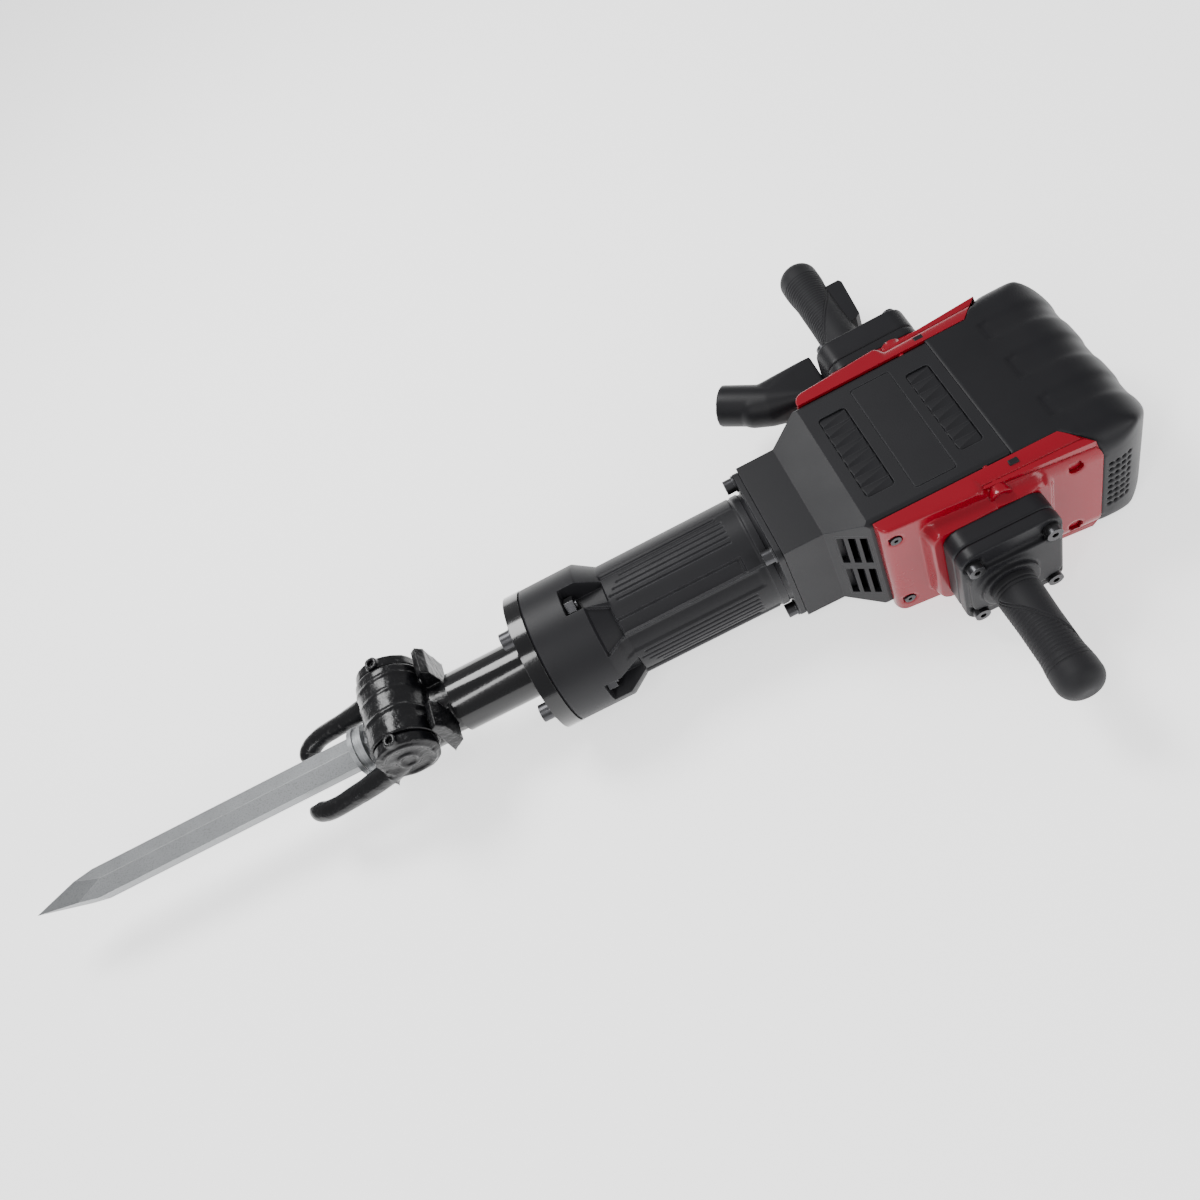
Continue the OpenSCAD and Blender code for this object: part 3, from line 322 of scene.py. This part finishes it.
def finish_piece(name, bm, slot, body="body", replaces=(), sharp=40, bevel=0.0):
    """Turns a bmesh into a piece with smooth faces that stay sharp at edges of more than sharp degrees."""
    bmesh.ops.remove_doubles(bm, verts=bm.verts, dist=WELD)
    bmesh.ops.recalc_face_normals(bm, faces=bm.faces)
    limit = math.radians(sharp)
    for face in bm.faces:
        face.smooth = True
    for edge in bm.edges:
        if len(edge.link_faces) == 2:
            edge.smooth = edge.calc_face_angle(0) < limit
    mesh = bpy.data.meshes.new(name)
    bm.to_mesh(mesh)
    bm.free()
    piece = bpy.data.objects.new(name, mesh)
    bpy.context.scene.collection.objects.link(piece)
    mesh.materials.append(MATERIALS[slot])
    if bevel:
        rounding = piece.modifiers.new("rounding", "BEVEL")
        rounding.width = bevel
        rounding.segments = 2
        rounding.limit_method = "ANGLE"
        rounding.angle_limit = math.radians(35)
    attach(piece, body)
    if replaces:
        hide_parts(*replaces)
    return piece


def grid_faces(bm, rows, close_rows=False, close_columns=False):
    """Quads between neighbouring rows of vertices."""
    last_row = len(rows) if close_rows else len(rows) - 1
    for i in range(last_row):
        a, b = rows[i], rows[(i + 1) % len(rows)]
        last = len(a) if close_columns else len(a) - 1
        for j in range(last):
            k = (j + 1) % len(a)
            bm.faces.new((a[j], a[k], b[k], b[j]))


def cap_ends(bm, rows):
    """Closes a tube of vertex rows at both ends."""
    bm.faces.new(rows[0])
    bm.faces.new(rows[-1])


def turned_shell(bm, stations, radius, bore, steps):
    """A closed tube round the tool axis. radius(station, degrees) gives the outside, with degrees from
    +Z towards -Y."""
    def ring(station, reach):
        made = []
        for j in range(steps):
            angle = math.radians(360 * j / steps)
            r = reach(station, math.degrees(angle))
            made.append(bm.verts.new((station, -r * math.sin(angle), AXIS_Z + r * math.cos(angle))))
        return made

    outside = [ring(s, radius) for s in stations]
    inside = [ring(s, lambda station, degrees: bore) for s in (stations[-1], stations[0])]
    grid_faces(bm, outside + inside, close_rows=True, close_columns=True)


def height_block(bm, xs, ys, height, base, place):
    """A closed block with a flat base and a height field on top. place(x, y, h) gives a vertex."""
    top = [[bm.verts.new(place(x, y, height(x, y))) for y in ys] for x in xs]
    bottom = [[bm.verts.new(place(x, y, base)) for y in (ys[0], ys[-1])] for x in xs]
    grid_faces(bm, top)
    rim_low = [row[0] for row in top]
    rim_high = [row[-1] for row in top]
    base_low = [row[0] for row in bottom]
    base_high = [row[-1] for row in bottom]
    grid_faces(bm, [rim_low, base_low])
    grid_faces(bm, [base_high, rim_high])
    grid_faces(bm, [base_low, base_high])
    bm.faces.new(top[0][::-1] + [base_low[0], base_high[0]])
    bm.faces.new(top[-1] + [base_high[-1], base_low[-1]])


def rounded_outline(half_a, half_b, radius, steps=8):
    """Points of a rounded rectangle round the origin."""
    points = []
    for corner, (sa, sb) in enumerate(((1, 1), (-1, 1), (-1, -1), (1, -1))):
        for i in range(steps + 1):
            angle = math.radians(90 * corner + 90 * i / steps)
            points.append((sa * (half_a - radius) + radius * math.cos(angle),
                           sb * (half_b - radius) + radius * math.sin(angle)))
    return points


def bored_plate(bm, x_range, half_y, half_z, corner_r, bore, rim=0.0008):
    """A plate across the tool axis with rounded corners, a small rim bevel and a round bore."""
    rows = []
    for x, inset in ((x_range[0], rim), (x_range[0] + rim, 0), (x_range[1] - rim, 0), (x_range[1], rim)):
        outline = rounded_outline(half_y - inset, half_z - inset, corner_r - inset)
        rows.append([bm.verts.new((x, a, AXIS_Z + b)) for a, b in outline])
    for x in (x_range[1], x_range[0]):
        edge = [(bore * a / math.hypot(a, b), bore * b / math.hypot(a, b)) for a, b in outline]
        rows.append([bm.verts.new((x, y, AXIS_Z + z)) for y, z in edge])
    grid_faces(bm, rows, close_rows=True, close_columns=True)


# ---------------------------------------------------------------- barrel


# stations along X and radii, in mm
CONE_FRONT, CONE_REAR = -311, -291
WIDE_R, SLIM_R, NUT_SEAT_R = 63.5, 50.5, 45.5
FACET_MIDDLE = 34  # degrees
# depth (negative where raised), first and last angle, its soft edge, first and last station, its soft edge
SIDE_PANELS = ((0.9, 34.5, 47.5, 1.0, CONE_REAR, -180.5, 1), (-1.0, 48.4, 49.6, 0.8, CONE_REAR, -163, 1),
               (1.4, 53, 68, 2.5, -296, -172, 5))
GROOVE_COUNT, GROOVE_PITCH, GROOVE_MIDDLE = 5, 6, 3.2  # pitch and middle in degrees
BARREL_BORE = 0.0422


def quarter_angle(degrees):
    """Degrees from the nearest flange bolt, from -45 to 45."""
    return (degrees + 45) % 90 - 45


def half_angle(degrees):
    """The same angle between -45 and 135, since the barrel's outside repeats every half turn."""
    return (degrees + 45) % 360 % 180 - 45


def wide_front(x, t, bolt_angle):
    """Radius of the wide front and its cone, with the facets and the nut pockets."""
    r = WIDE_R - (WIDE_R - SLIM_R) * ramp(CONE_FRONT, CONE_REAR, x)
    r -= 1.2 * (1 - smoothstep(-362.5, -361.3, x))
    facet_half = 15 + 5.5 * ramp(CONE_REAR, -309, x)
    facet = band(FACET_MIDDLE - facet_half, FACET_MIDDLE + facet_half, 1.2, t) * band(-310, -292.5, 1.0, x)
    r -= 3.2 * facet
    pocket = (1 - smoothstep(11.2, 12.4, bolt_angle)) * band(-326, -292, 0.8, x)
    return r - max(0.0, r - NUT_SEAT_R) * pocket


def top_strip(x, mirrored):
    """Height of the raised strip on the slim rear part, less its edge groove and its thin grooves."""
    rear = band(CONE_REAR, -165, 1.5, x)
    rise = -1.5 * rear * band(-18.5, -14.5, 1.0, mirrored) * band(CONE_REAR, -184, 3, x)
    rise += 1.1 * rear * (1 - smoothstep(-22, -19, mirrored))
    for i in range(GROOVE_COUNT):
        middle = GROOVE_MIDDLE + GROOVE_PITCH * (i - 2)
        start = -288 + 5 * abs(i - 3)
        rise -= 1.1 * band(middle - 0.7, middle + 0.7, 0.5, mirrored) * band(start, -179, 1.2, x)
    return rise


def bracket_groove(x, t):
    """Depth share of the groove that runs along the barrel and then turns a corner."""
    along = band(32.4, 33.8, 0.7, t) * band(CONE_REAR, -178.5, 1, x)
    across = band(32.4, 47.5, 0.7, t) * band(-180, -177.6, 0.8, x)
    return max(along, across)


def barrel_radius(x, degrees):
    """Outside of the barrel housing in metres at station x in mm."""
    t = half_angle(degrees)
    mirrored = t if t < 45 else 90 - t
    r = wide_front(x, t, abs(quarter_angle(degrees))) + top_strip(x, mirrored) - 1.5 * bracket_groove(x, t)
    for depth, low, high, soft, start, end, soft_end in SIDE_PANELS:
        r -= depth * band(low, high, soft, t) * band(start, end, soft_end, x)
    # raised ring before the neck
    r += 1.3 * smoothstep(-163.5, -161.5, x) * (1 - smoothstep(-155.5, -154.8, x))
    return r * MM


def build_barrel():
    """The barrel housing and its rear flange."""
    flange_thickness, flange_half_y, flange_half_z, flange_corner_r = 0.006, 0.050, 0.052, 0.008
    overlap = 0.001
    bm = bmesh.new()
    low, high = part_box("barrel_housing")
    flange_front = high.x - flange_thickness
    stations = spread(low.x, flange_front + overlap, 215)
    turned_shell(bm, stations, lambda x, degrees: barrel_radius(x / MM, degrees), BARREL_BORE, 480)
    bored_plate(bm, (flange_front, high.x), flange_half_y, flange_half_z, flange_corner_r, BARREL_BORE)
    finish_piece("barrel_shell", bm, "charcoal_casting", replaces=("barrel_housing",), sharp=32)


# ---------------------------------------------------------------- red covers


# all in mm, with z from the tool axis
COVER_FRONT, COVER_SEAM_Y, COVER_REAR = -76.0, 69.8, 96
FRONT_EDGE_R = 9
PEDESTAL_Y, PEDESTAL_X = 98, 6.8
COVER_SCREWS = ((-65, 47), (-65, -47), (79, 41), (79, -41))
SCREW_SEAT_Y = 79.4
WALL = 4
INNER_HALF_HEIGHT = 60
BOSS_X, BOSS_Z = 19, 49.5


def rounded_inside(a, b, half_a, half_b, radius):
    """Signed distance to a rounded rectangle, negative inside."""
    qa, qb = abs(a) - (half_a - radius), abs(b) - (half_b - radius)
    return math.hypot(max(qa, 0), max(qb, 0)) + min(max(qa, qb), 0) - radius


def flank(x):
    """How far the cover reaches out at station x, with a rounded front edge."""
    y = 82.5 + 0.0744 * (x + 67)
    nose = x - COVER_FRONT
    if nose < FRONT_EDGE_R:
        y -= FRONT_EDGE_R - math.sqrt(FRONT_EDGE_R ** 2 - (FRONT_EDGE_R - nose) ** 2)
    return y


def cover_corner_r(x):
    """Corner radius at station x: sharp at the front, turning soft just ahead of the middle boss."""
    return 3 + 21 * smoothstep(2, 20, x)


def cover_face(x, y, z):
    """Outward place of a point on the flank, with the raised handle pedestal and the sunk screw seats."""
    edge = rounded_inside(x - PEDESTAL_X, z, 53, 52, 14)
    rise = 1 - smoothstep(-4.5, 1.5, edge)
    y = max(y, y + (PEDESTAL_Y - y) * rise)
    for hole_x, hole_z in COVER_SCREWS:
        away = math.hypot(x - hole_x, z - hole_z)
        dish = 1 - smoothstep(4.9, 5.9, away)
        y -= 0.35 * (1 - smoothstep(6.2, 8.2, away)) + max(0, y - SCREW_SEAT_Y) * dish
    return y


def cover_section(x, count):
    """Outer points (y, z) of one section, from the top seam over the flank to the bottom seam."""
    reach = max(flank(x), COVER_SEAM_Y + 1.5)
    corner = min(cover_corner_r(x), reach - COVER_SEAM_Y - 0.5)
    middle_y, middle_z = reach - corner, HALF_DEPTH - corner
    upper = [(COVER_SEAM_Y + (middle_y - COVER_SEAM_Y) * i / 4, HALF_DEPTH) for i in range(4)]
    for i in range(11):
        angle = math.radians(90 - 9 * i)
        upper.append((middle_y + corner * math.cos(angle), middle_z + corner * math.sin(angle)))
    side = [(reach, z) for z in spread(middle_z, -middle_z, count)[1:-1]]
    return upper + side + [(y, -z) for y, z in upper[::-1]]


def cap_seam_x(y):
    """Rear edge of the cover where it meets the rear cap."""
    return 76.7 + (y - 69.5) * 24 / 25.5


def cover_lining(x):
    """Inner corners (x, y, z) of one section. The wall closes up to the seam plane at the front."""
    inner_y = COVER_SEAM_Y if x < COVER_FRONT + 4.5 else flank(x) - WALL
    seam = (min(x, cap_seam_x(COVER_SEAM_Y)), COVER_SEAM_Y)
    lip = INNER_HALF_HEIGHT + 0.5
    return [(*seam, -lip), (x, inner_y, -INNER_HALF_HEIGHT), (x, inner_y, INNER_HALF_HEIGHT), (*seam, lip)]


def build_cover(side, name, node):
    """One red cover. side is -1 for the right one and 1 for the left one."""
    bm = bmesh.new()
    rows = []
    # closer sections where the front edge is rounded
    shares = [0, 0.0015, 0.004, 0.008, 0.014, 0.022, 0.032, 0.044, 0.056] + spread(0.062, 1, 290)
    for share in shares:
        x = COVER_FRONT + share * (COVER_REAR - COVER_FRONT)
        outer = []
        for y, z in cover_section(x, 176):
            placed_x = COVER_FRONT + share * (cap_seam_x(y) - COVER_FRONT)
            outer.append((placed_x, cover_face(placed_x, y, z), z))
        rows.append([bm.verts.new((px * MM, side * py * MM, AXIS_Z + pz * MM))
                     for px, py, pz in outer + cover_lining(x)])
    grid_faces(bm, rows, close_columns=True)
    cap_ends(bm, rows)
    finish_piece(name, bm, "red_shell", replaces=(node,), sharp=38)
    for end, up in (("top", 1), ("bottom", -1)):
        build_cover_boss(side, up, f"{name}_boss_{end}")


def build_cover_boss(side, up, name):
    """Conical boss that grows out of the cover's edge, with the hole for the middle screw."""
    bm = bmesh.new()
    rows = []
    root_y, tip_y = 68, 90
    cone = [(y, 2.2 + 7.0 * ramp(root_y, tip_y, y)) for y in spread(root_y, tip_y, 12)]
    rounded_tip = [(91.6, 9.3), (92.2, 8.6)]
    hole = [(92.3, 5.9), (91.8, 5.2), (80, 5.0), (80, 0.4)]
    for y, r in [(66, 0.5)] + cone + rounded_tip + hole:
        on_cone = r > 6 or y < 80
        z = 61.0 - 11.5 * ramp(root_y, tip_y, min(y, tip_y)) if on_cone else BOSS_Z
        ring = []
        for j in range(40):
            angle = 2 * math.pi * j / 40
            ring.append(bm.verts.new(((BOSS_X + r * math.cos(angle)) * MM, side * y * MM,
                                      AXIS_Z + up * (z + r * math.sin(angle)) * MM)))
        rows.append(ring)
    grid_faces(bm, rows, close_columns=True)
    cap_ends(bm, rows)
    finish_piece(name, bm, "red_shell", sharp=45)


def build_seam_clips():
    """Small dark clips in the seams between the covers and the gear housing."""
    clip_x, clip_y, clip_z = 38, 75.5, 61.4
    clip_size = (8 * MM, 5 * MM, 5 * MM, 1)
    bm = bmesh.new()
    for side in (-1, 1):
        for up in (-1, 1):
            place = Vector((clip_x * MM, side * clip_y * MM, AXIS_Z + up * clip_z * MM))
            bmesh.ops.create_cube(bm, size=1, matrix=Matrix.Translation(place) @ Matrix.Diagonal(clip_size))
    finish_piece("seam_clips", bm, "black_plastic", bevel=0.0006)


# ---------------------------------------------------------------- louvres in the dark faces


LOUVRE_BLOCKS = ((-69, -44), (10, 31))  # first and last x in mm
LOUVRE_HALF_WIDTH, LOUVRE_PITCH = 45.6, 11.4
LOUVRE_VALLEY, LOUVRE_BASE = 1.7, -3.0


def louvre_height(x, y, x0, x1):
    """Height of the slanted wedges against the flat face. Each crest line crosses its wedge at a slant."""
    u = (x - x0) / (x1 - x0)
    v = (y / LOUVRE_PITCH) % 1
    crest = 0.18 + 0.64 * u
    wedge = v / crest if v < crest else (1 - v) / (1 - crest)
    to_rim = min(x - x0, x1 - x, LOUVRE_HALF_WIDTH - abs(y))
    return -LOUVRE_VALLEY + 1.6 * wedge * smoothstep(0.3, 1.4, to_rim)


def build_louvres(face, name):
    """Louvre wedges in the two recesses of one flat face. face is 1 for the top and -1 for the bottom."""
    clearance = 0.2
    across = spread(-LOUVRE_HALF_WIDTH, LOUVRE_HALF_WIDTH, 320)
    for index, (x0, x1) in enumerate(LOUVRE_BLOCKS):
        bm = bmesh.new()
        height_block(bm, spread(x0 + clearance, x1 - clearance, 40), across,
                     lambda x, y, x0=x0, x1=x1: louvre_height(x, y, x0, x1), LOUVRE_BASE,
                     lambda x, y, h: (x * MM, y * MM, AXIS_Z + face * (HALF_DEPTH + h) * MM))
        finish_piece(f"{name}_{index + 1}", bm, "charcoal_casting", sharp=25)


# ---------------------------------------------------------------- rubber grips


TRIGGER_SLOT_LOW, TRIGGER_SLOT_HIGH = (0.004, 0.173, AXIS_Z - 0.0085), (0.06, 0.236, AXIS_Z + 0.0085)
GRIP_CORE_R, GRIP_BORE_END = 0.0132, 0.021
GRIP_END_R = 14  # mm
RIB_SPACING = 3.4  # mm between the grip's ribs


def grip_radius(share, degrees, length):
    """Radius of a grip at a share of its length: end rings, a ribbed side and a bulging end."""
    along = share * length
    r = 18.3 - 0.9 * smoothstep(0.05, 0.4, share) + 1.6 * smoothstep(0.62, 0.82, share)
    for groove in (5.0, 8.5, length - 28.0, length - 24.5):
        r -= 0.7 * band(groove - 0.35, groove + 0.35, 0.5, along)
    # from -90 on the side towards the chisel to 90, the same above and below
    folded = degrees if degrees <= 180 else degrees - 360
    if abs(folded) > 90:
        folded = math.copysign(180, folded) - folded
    # a double groove runs slantwise round the grip and parts the ribs from the smooth side
    border = -78 + 165 * ramp(12, length - 33, along)
    inside = band(11, length - 31, 0.6, along)
    for offset in (0, 9):
        r -= 0.8 * inside * band(-1.5, 1.5, 2.0, folded - border - offset)
    ribbed = inside * (1 - smoothstep(-4, -2, folded - border))
    r -= 0.75 * ribbed * (0.5 + 0.5 * math.cos(2 * math.pi * along / RIB_SPACING)) ** 2
    to_end = length - along
    if to_end < GRIP_END_R:
        r -= GRIP_END_R - math.sqrt(max(0, GRIP_END_R ** 2 - (GRIP_END_R - to_end) ** 2))
    return max(r, 0.3) * MM


def build_grip(side, name, node):
    """One grip along Y with its blind bore, side -1 for the right one."""
    steps = 300
    low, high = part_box(node)
    y0, y1 = (low.y, high.y) if side > 0 else (high.y, low.y)
    length = abs(y1 - y0) / MM
    bm = bmesh.new()

    def ring(y, reach):
        made = []
        for j in range(steps):
            angle = math.radians(360 * j / steps)
            r = reach(math.degrees(angle))
            made.append(bm.verts.new((r * math.sin(angle), y, AXIS_Z + r * math.cos(angle))))
        return made

    rows = [ring(y, lambda degrees: GRIP_CORE_R) for y in (y1 - side * GRIP_BORE_END, y0)]
    # closer rings over the rounded end
    end_start, end_rings = 0.86, 24
    shares = spread(0, end_start, 230)
    shares += [end_start + 0.14 * math.sin(math.pi / 2 * i / end_rings) for i in range(1, end_rings + 1)]
    for share in shares:
        rows.append(ring(y0 + share * (y1 - y0), lambda degrees: grip_radius(share, degrees, length)))
    grid_faces(bm, rows, close_columns=True)
    cap_ends(bm, rows)
    return finish_piece(name, bm, "grip_rubber", replaces=(node,), sharp=60)


def evaluated_mesh(thing):
    """The object's mesh with its modifiers applied."""
    bpy.context.view_layer.update()
    return bpy.data.meshes.new_from_object(thing.evaluated_get(bpy.context.evaluated_depsgraph_get()))


def cut_box(piece, low, high):
    """Takes a box out of a piece."""
    middle, size = (Vector(low) + Vector(high)) / 2, Vector(high) - Vector(low)
    bm = bmesh.new()
    bmesh.ops.create_cube(bm, size=1, matrix=Matrix.Translation(middle) @ Matrix.Diagonal((*size, 1)))
    mesh = bpy.data.meshes.new("cutter")
    bm.to_mesh(mesh)
    bm.free()
    cutter = bpy.data.objects.new("cutter", mesh)
    bpy.context.scene.collection.objects.link(cutter)
    cut = piece.modifiers.new("cut", "BOOLEAN")
    cut.operation = "DIFFERENCE"
    cut.object = cutter
    made = evaluated_mesh(piece)
    piece.modifiers.remove(cut)
    piece.data = made
    bpy.data.objects.remove(cutter)


# ---------------------------------------------------------------- cast and moulded pieces


LATCH_PIN_X, LATCH_PIN_Z = -507, 89  # mm
ARM_ROOT_X = -0.533
# x, y to the side, z and radius along one latch arm, from its disc to the hook's tip, in mm
LATCH_ARM = ((-512, 38, 80, 10.5), (-532, 38, 72, 11), (-554, 38.3, 66, 10.4), (-576, 38.6, 62, 9.6),
             (-598, 38.4, 59, 9.4), (-611, 34.5, 56, 9.6), (-616, 30, 54, 9.2), (-616, 28, 54, 8),
             (-615, 26, 54, 4))
DISC_FACE_Y, DISC_BEAD_R = 45.9, 2.6


def smooth_path(points, steps=6):
    """The points with more between them, on a Catmull-Rom curve."""
    fine = []
    last = len(points) - 1
    for i in range(last):
        before, start, end, after = (points[min(max(k, 0), last)] for k in (i - 1, i, i + 1, i + 2))
        for k in range(steps):
            t = k / steps
            fine.append([0.5 * (2 * b + (c - a) * t + (2 * a - 5 * b + 4 * c - d) * t ** 2
                                + (3 * b - a - 3 * c + d) * t ** 3)
                         for a, b, c, d in zip(before, start, end, after)])
    return fine + [points[-1]]


def swept_rod(bm, points, steps=20):
    """A round rod through (x, y, z, radius) points in mm, smoothed between them."""
    fine = smooth_path(points)
    angles = [2 * math.pi * j / steps for j in range(steps)]
    rows = []
    for i, (x, y, z, r) in enumerate(fine):
        ahead, behind = fine[min(i + 1, len(fine) - 1)], fine[max(i - 1, 0)]
        tangent = (Vector(ahead[:3]) - Vector(behind[:3])).normalized()
        across = tangent.cross(Vector((0, 0, 1))).normalized()
        up = across.cross(tangent)
        rows.append([bm.verts.new((Vector((x, y, z)) + r * (math.cos(a) * across + math.sin(a) * up)) * MM)
                     for a in angles])
    grid_faces(bm, rows, close_columns=True)
    cap_ends(bm, rows)


def bead_round_pin(bm, reach, radius, first, last, place_y, steps):
    """A bead on a circle round the latch pin, from the first to the last degree past the top."""
    points = []
    for degrees in range(first, last + 1, 20):
        angle = math.radians(degrees)
        points.append((LATCH_PIN_X + reach * math.sin(angle), place_y(degrees),
                       LATCH_PIN_Z + reach * math.cos(angle), radius))
    swept_rod(bm, points, steps)


def round_latch_arms(bm):
    """Swaps the latch's flat arms for round forged hooks and puts two ring beads on each disc."""
    everything = bm.verts[:] + bm.edges[:] + bm.faces[:]
    bmesh.ops.bisect_plane(bm, geom=everything, plane_co=(ARM_ROOT_X, 0, 0), plane_no=(-1, 0, 0),
                           clear_outer=True)
    bmesh.ops.holes_fill(bm, edges=[edge for edge in bm.edges if edge.is_boundary])
    for side in (-1, 1):
        swept_rod(bm, [(x, side * y, z, r) for x, y, z, r in LATCH_ARM])
        for reach in (23, 9):
            bead_round_pin(bm, reach, DISC_BEAD_R, 0, 360, lambda degrees: side * DISC_FACE_Y, 12)


def add_casting_ridges(bm):
    """Raised, slightly wavy parting lines across the top of the tool holder."""
    # the sine takes the plain number of degrees on purpose, so that each line wavers unevenly
    for y, reach, r in ((-11, 29.8, 2.6), (9, 30.2, 1.6), (24, 30.0, 2.0)):
        bead_round_pin(bm, reach, r, -100, 100, lambda degrees: y + 1.5 * math.sin(degrees), 10)


def soften(name, node, slot, voxel, passes, ripple=0.0, reshape=None, keeps_detail=lambda place: False):
    """A cast or moulded copy of a CAD node with rounded edges and filled corners."""
    ripple_scale = 110
    bm = bmesh.new()
    bm.from_mesh(nodes[node].data)
    bm.transform(nodes[node].matrix_world)
    bmesh.ops.remove_doubles(bm, verts=bm.verts, dist=WELD)
    if reshape:
        reshape(bm)
    mesh = bpy.data.meshes.new(name + "_form")
    bm.to_mesh(mesh)
    bm.free()
    form = bpy.data.objects.new(name + "_form", mesh)
    bpy.context.scene.collection.objects.link(form)
    remesh = form.modifiers.new("voxels", "REMESH")
    remesh.mode = "VOXEL"
    remesh.voxel_size = voxel
    made = evaluated_mesh(form)
    bpy.data.objects.remove(form)
    bm = bmesh.new()
    bm.from_mesh(made)
    soft_verts = [vert for vert in bm.verts if not keeps_detail(vert.co)]
    for _ in range(passes):
        bmesh.ops.smooth_vert(bm, verts=soft_verts, factor=0.5,
                              use_axis_x=True, use_axis_y=True, use_axis_z=True)
    if ripple:
        bm.normal_update()
        for vert in bm.verts:
            vert.co += vert.normal * ripple * noise.noise(vert.co * ripple_scale)
    finish_piece(name, bm, slot, body=body_of(nodes[node])[0], replaces=(node,), sharp=70)


def on_cap_detail(place):
    """Whether a place is on the rear cap's side vents or its front edge, which stay crisp."""
    vents = abs(place.y) > 0.085 and abs(place.z - AXIS_Z) < 0.040
    return vents or place.x < 0.088


def build_castings():
    """The rough castings of the tool end."""
    voxel, ripple = 0.0010, 0.0003
    soften("latch_casting", "latch", "black_casting", voxel, 5, ripple, round_latch_arms)
    soften("tool_holder_casting", "tool_holder", "black_casting", voxel, 3, ripple, add_casting_ridges)


def build_mouldings():
    """The rear cap and the plastic parts of the handles."""
    soften("rear_cap_moulding", "rear_cap", "black_plastic", 0.0013, 26, keeps_detail=on_cap_detail)
    for node in ("right_handle", "left_handle", "right_spacer", "left_spacer", "cable_guard"):
        soften(f"{node}_moulding", node, "black_plastic", 0.0012, 3)


# ---------------------------------------------------------------- carried-over CAD nodes


def dress_cad_nodes():
    """Gives every CAD node its slot's finish."""
    slots = {row["node"]: row["material_slot"] for row in frame["record"]["subparts"]}
    for name, piece in nodes.items():
        piece.data.materials.clear()
        piece.data.materials.append(MATERIALS[slots[name]])


make_camera()
make_world(0.50)
make_floor()
make_light("key", (-0.7, 0.9, 1.6), (-0.1, 0, 0), (0.7, 0.7), 30)
make_light("fill", (0.9, -1.3, 0.9), (0, 0, 0), (0.9, 0.5), 9)
make_light("strip", (-0.9, -0.9, 1.3), (-0.3, 0, 0), (0.15, 1.2), 9)
dress_cad_nodes()
build_barrel()
build_cover(-1, "right_cover_shell", "right_cover")
build_cover(1, "left_cover_shell", "left_cover")
build_seam_clips()
build_louvres(1, "top_louvres")
build_louvres(-1, "bottom_louvres")
build_grip(-1, "right_grip_sleeve", "right_grip")
left_sleeve = build_grip(1, "left_grip_sleeve", "left_grip")
cut_box(left_sleeve, TRIGGER_SLOT_LOW, TRIGGER_SLOT_HIGH)
build_castings()
build_mouldings()
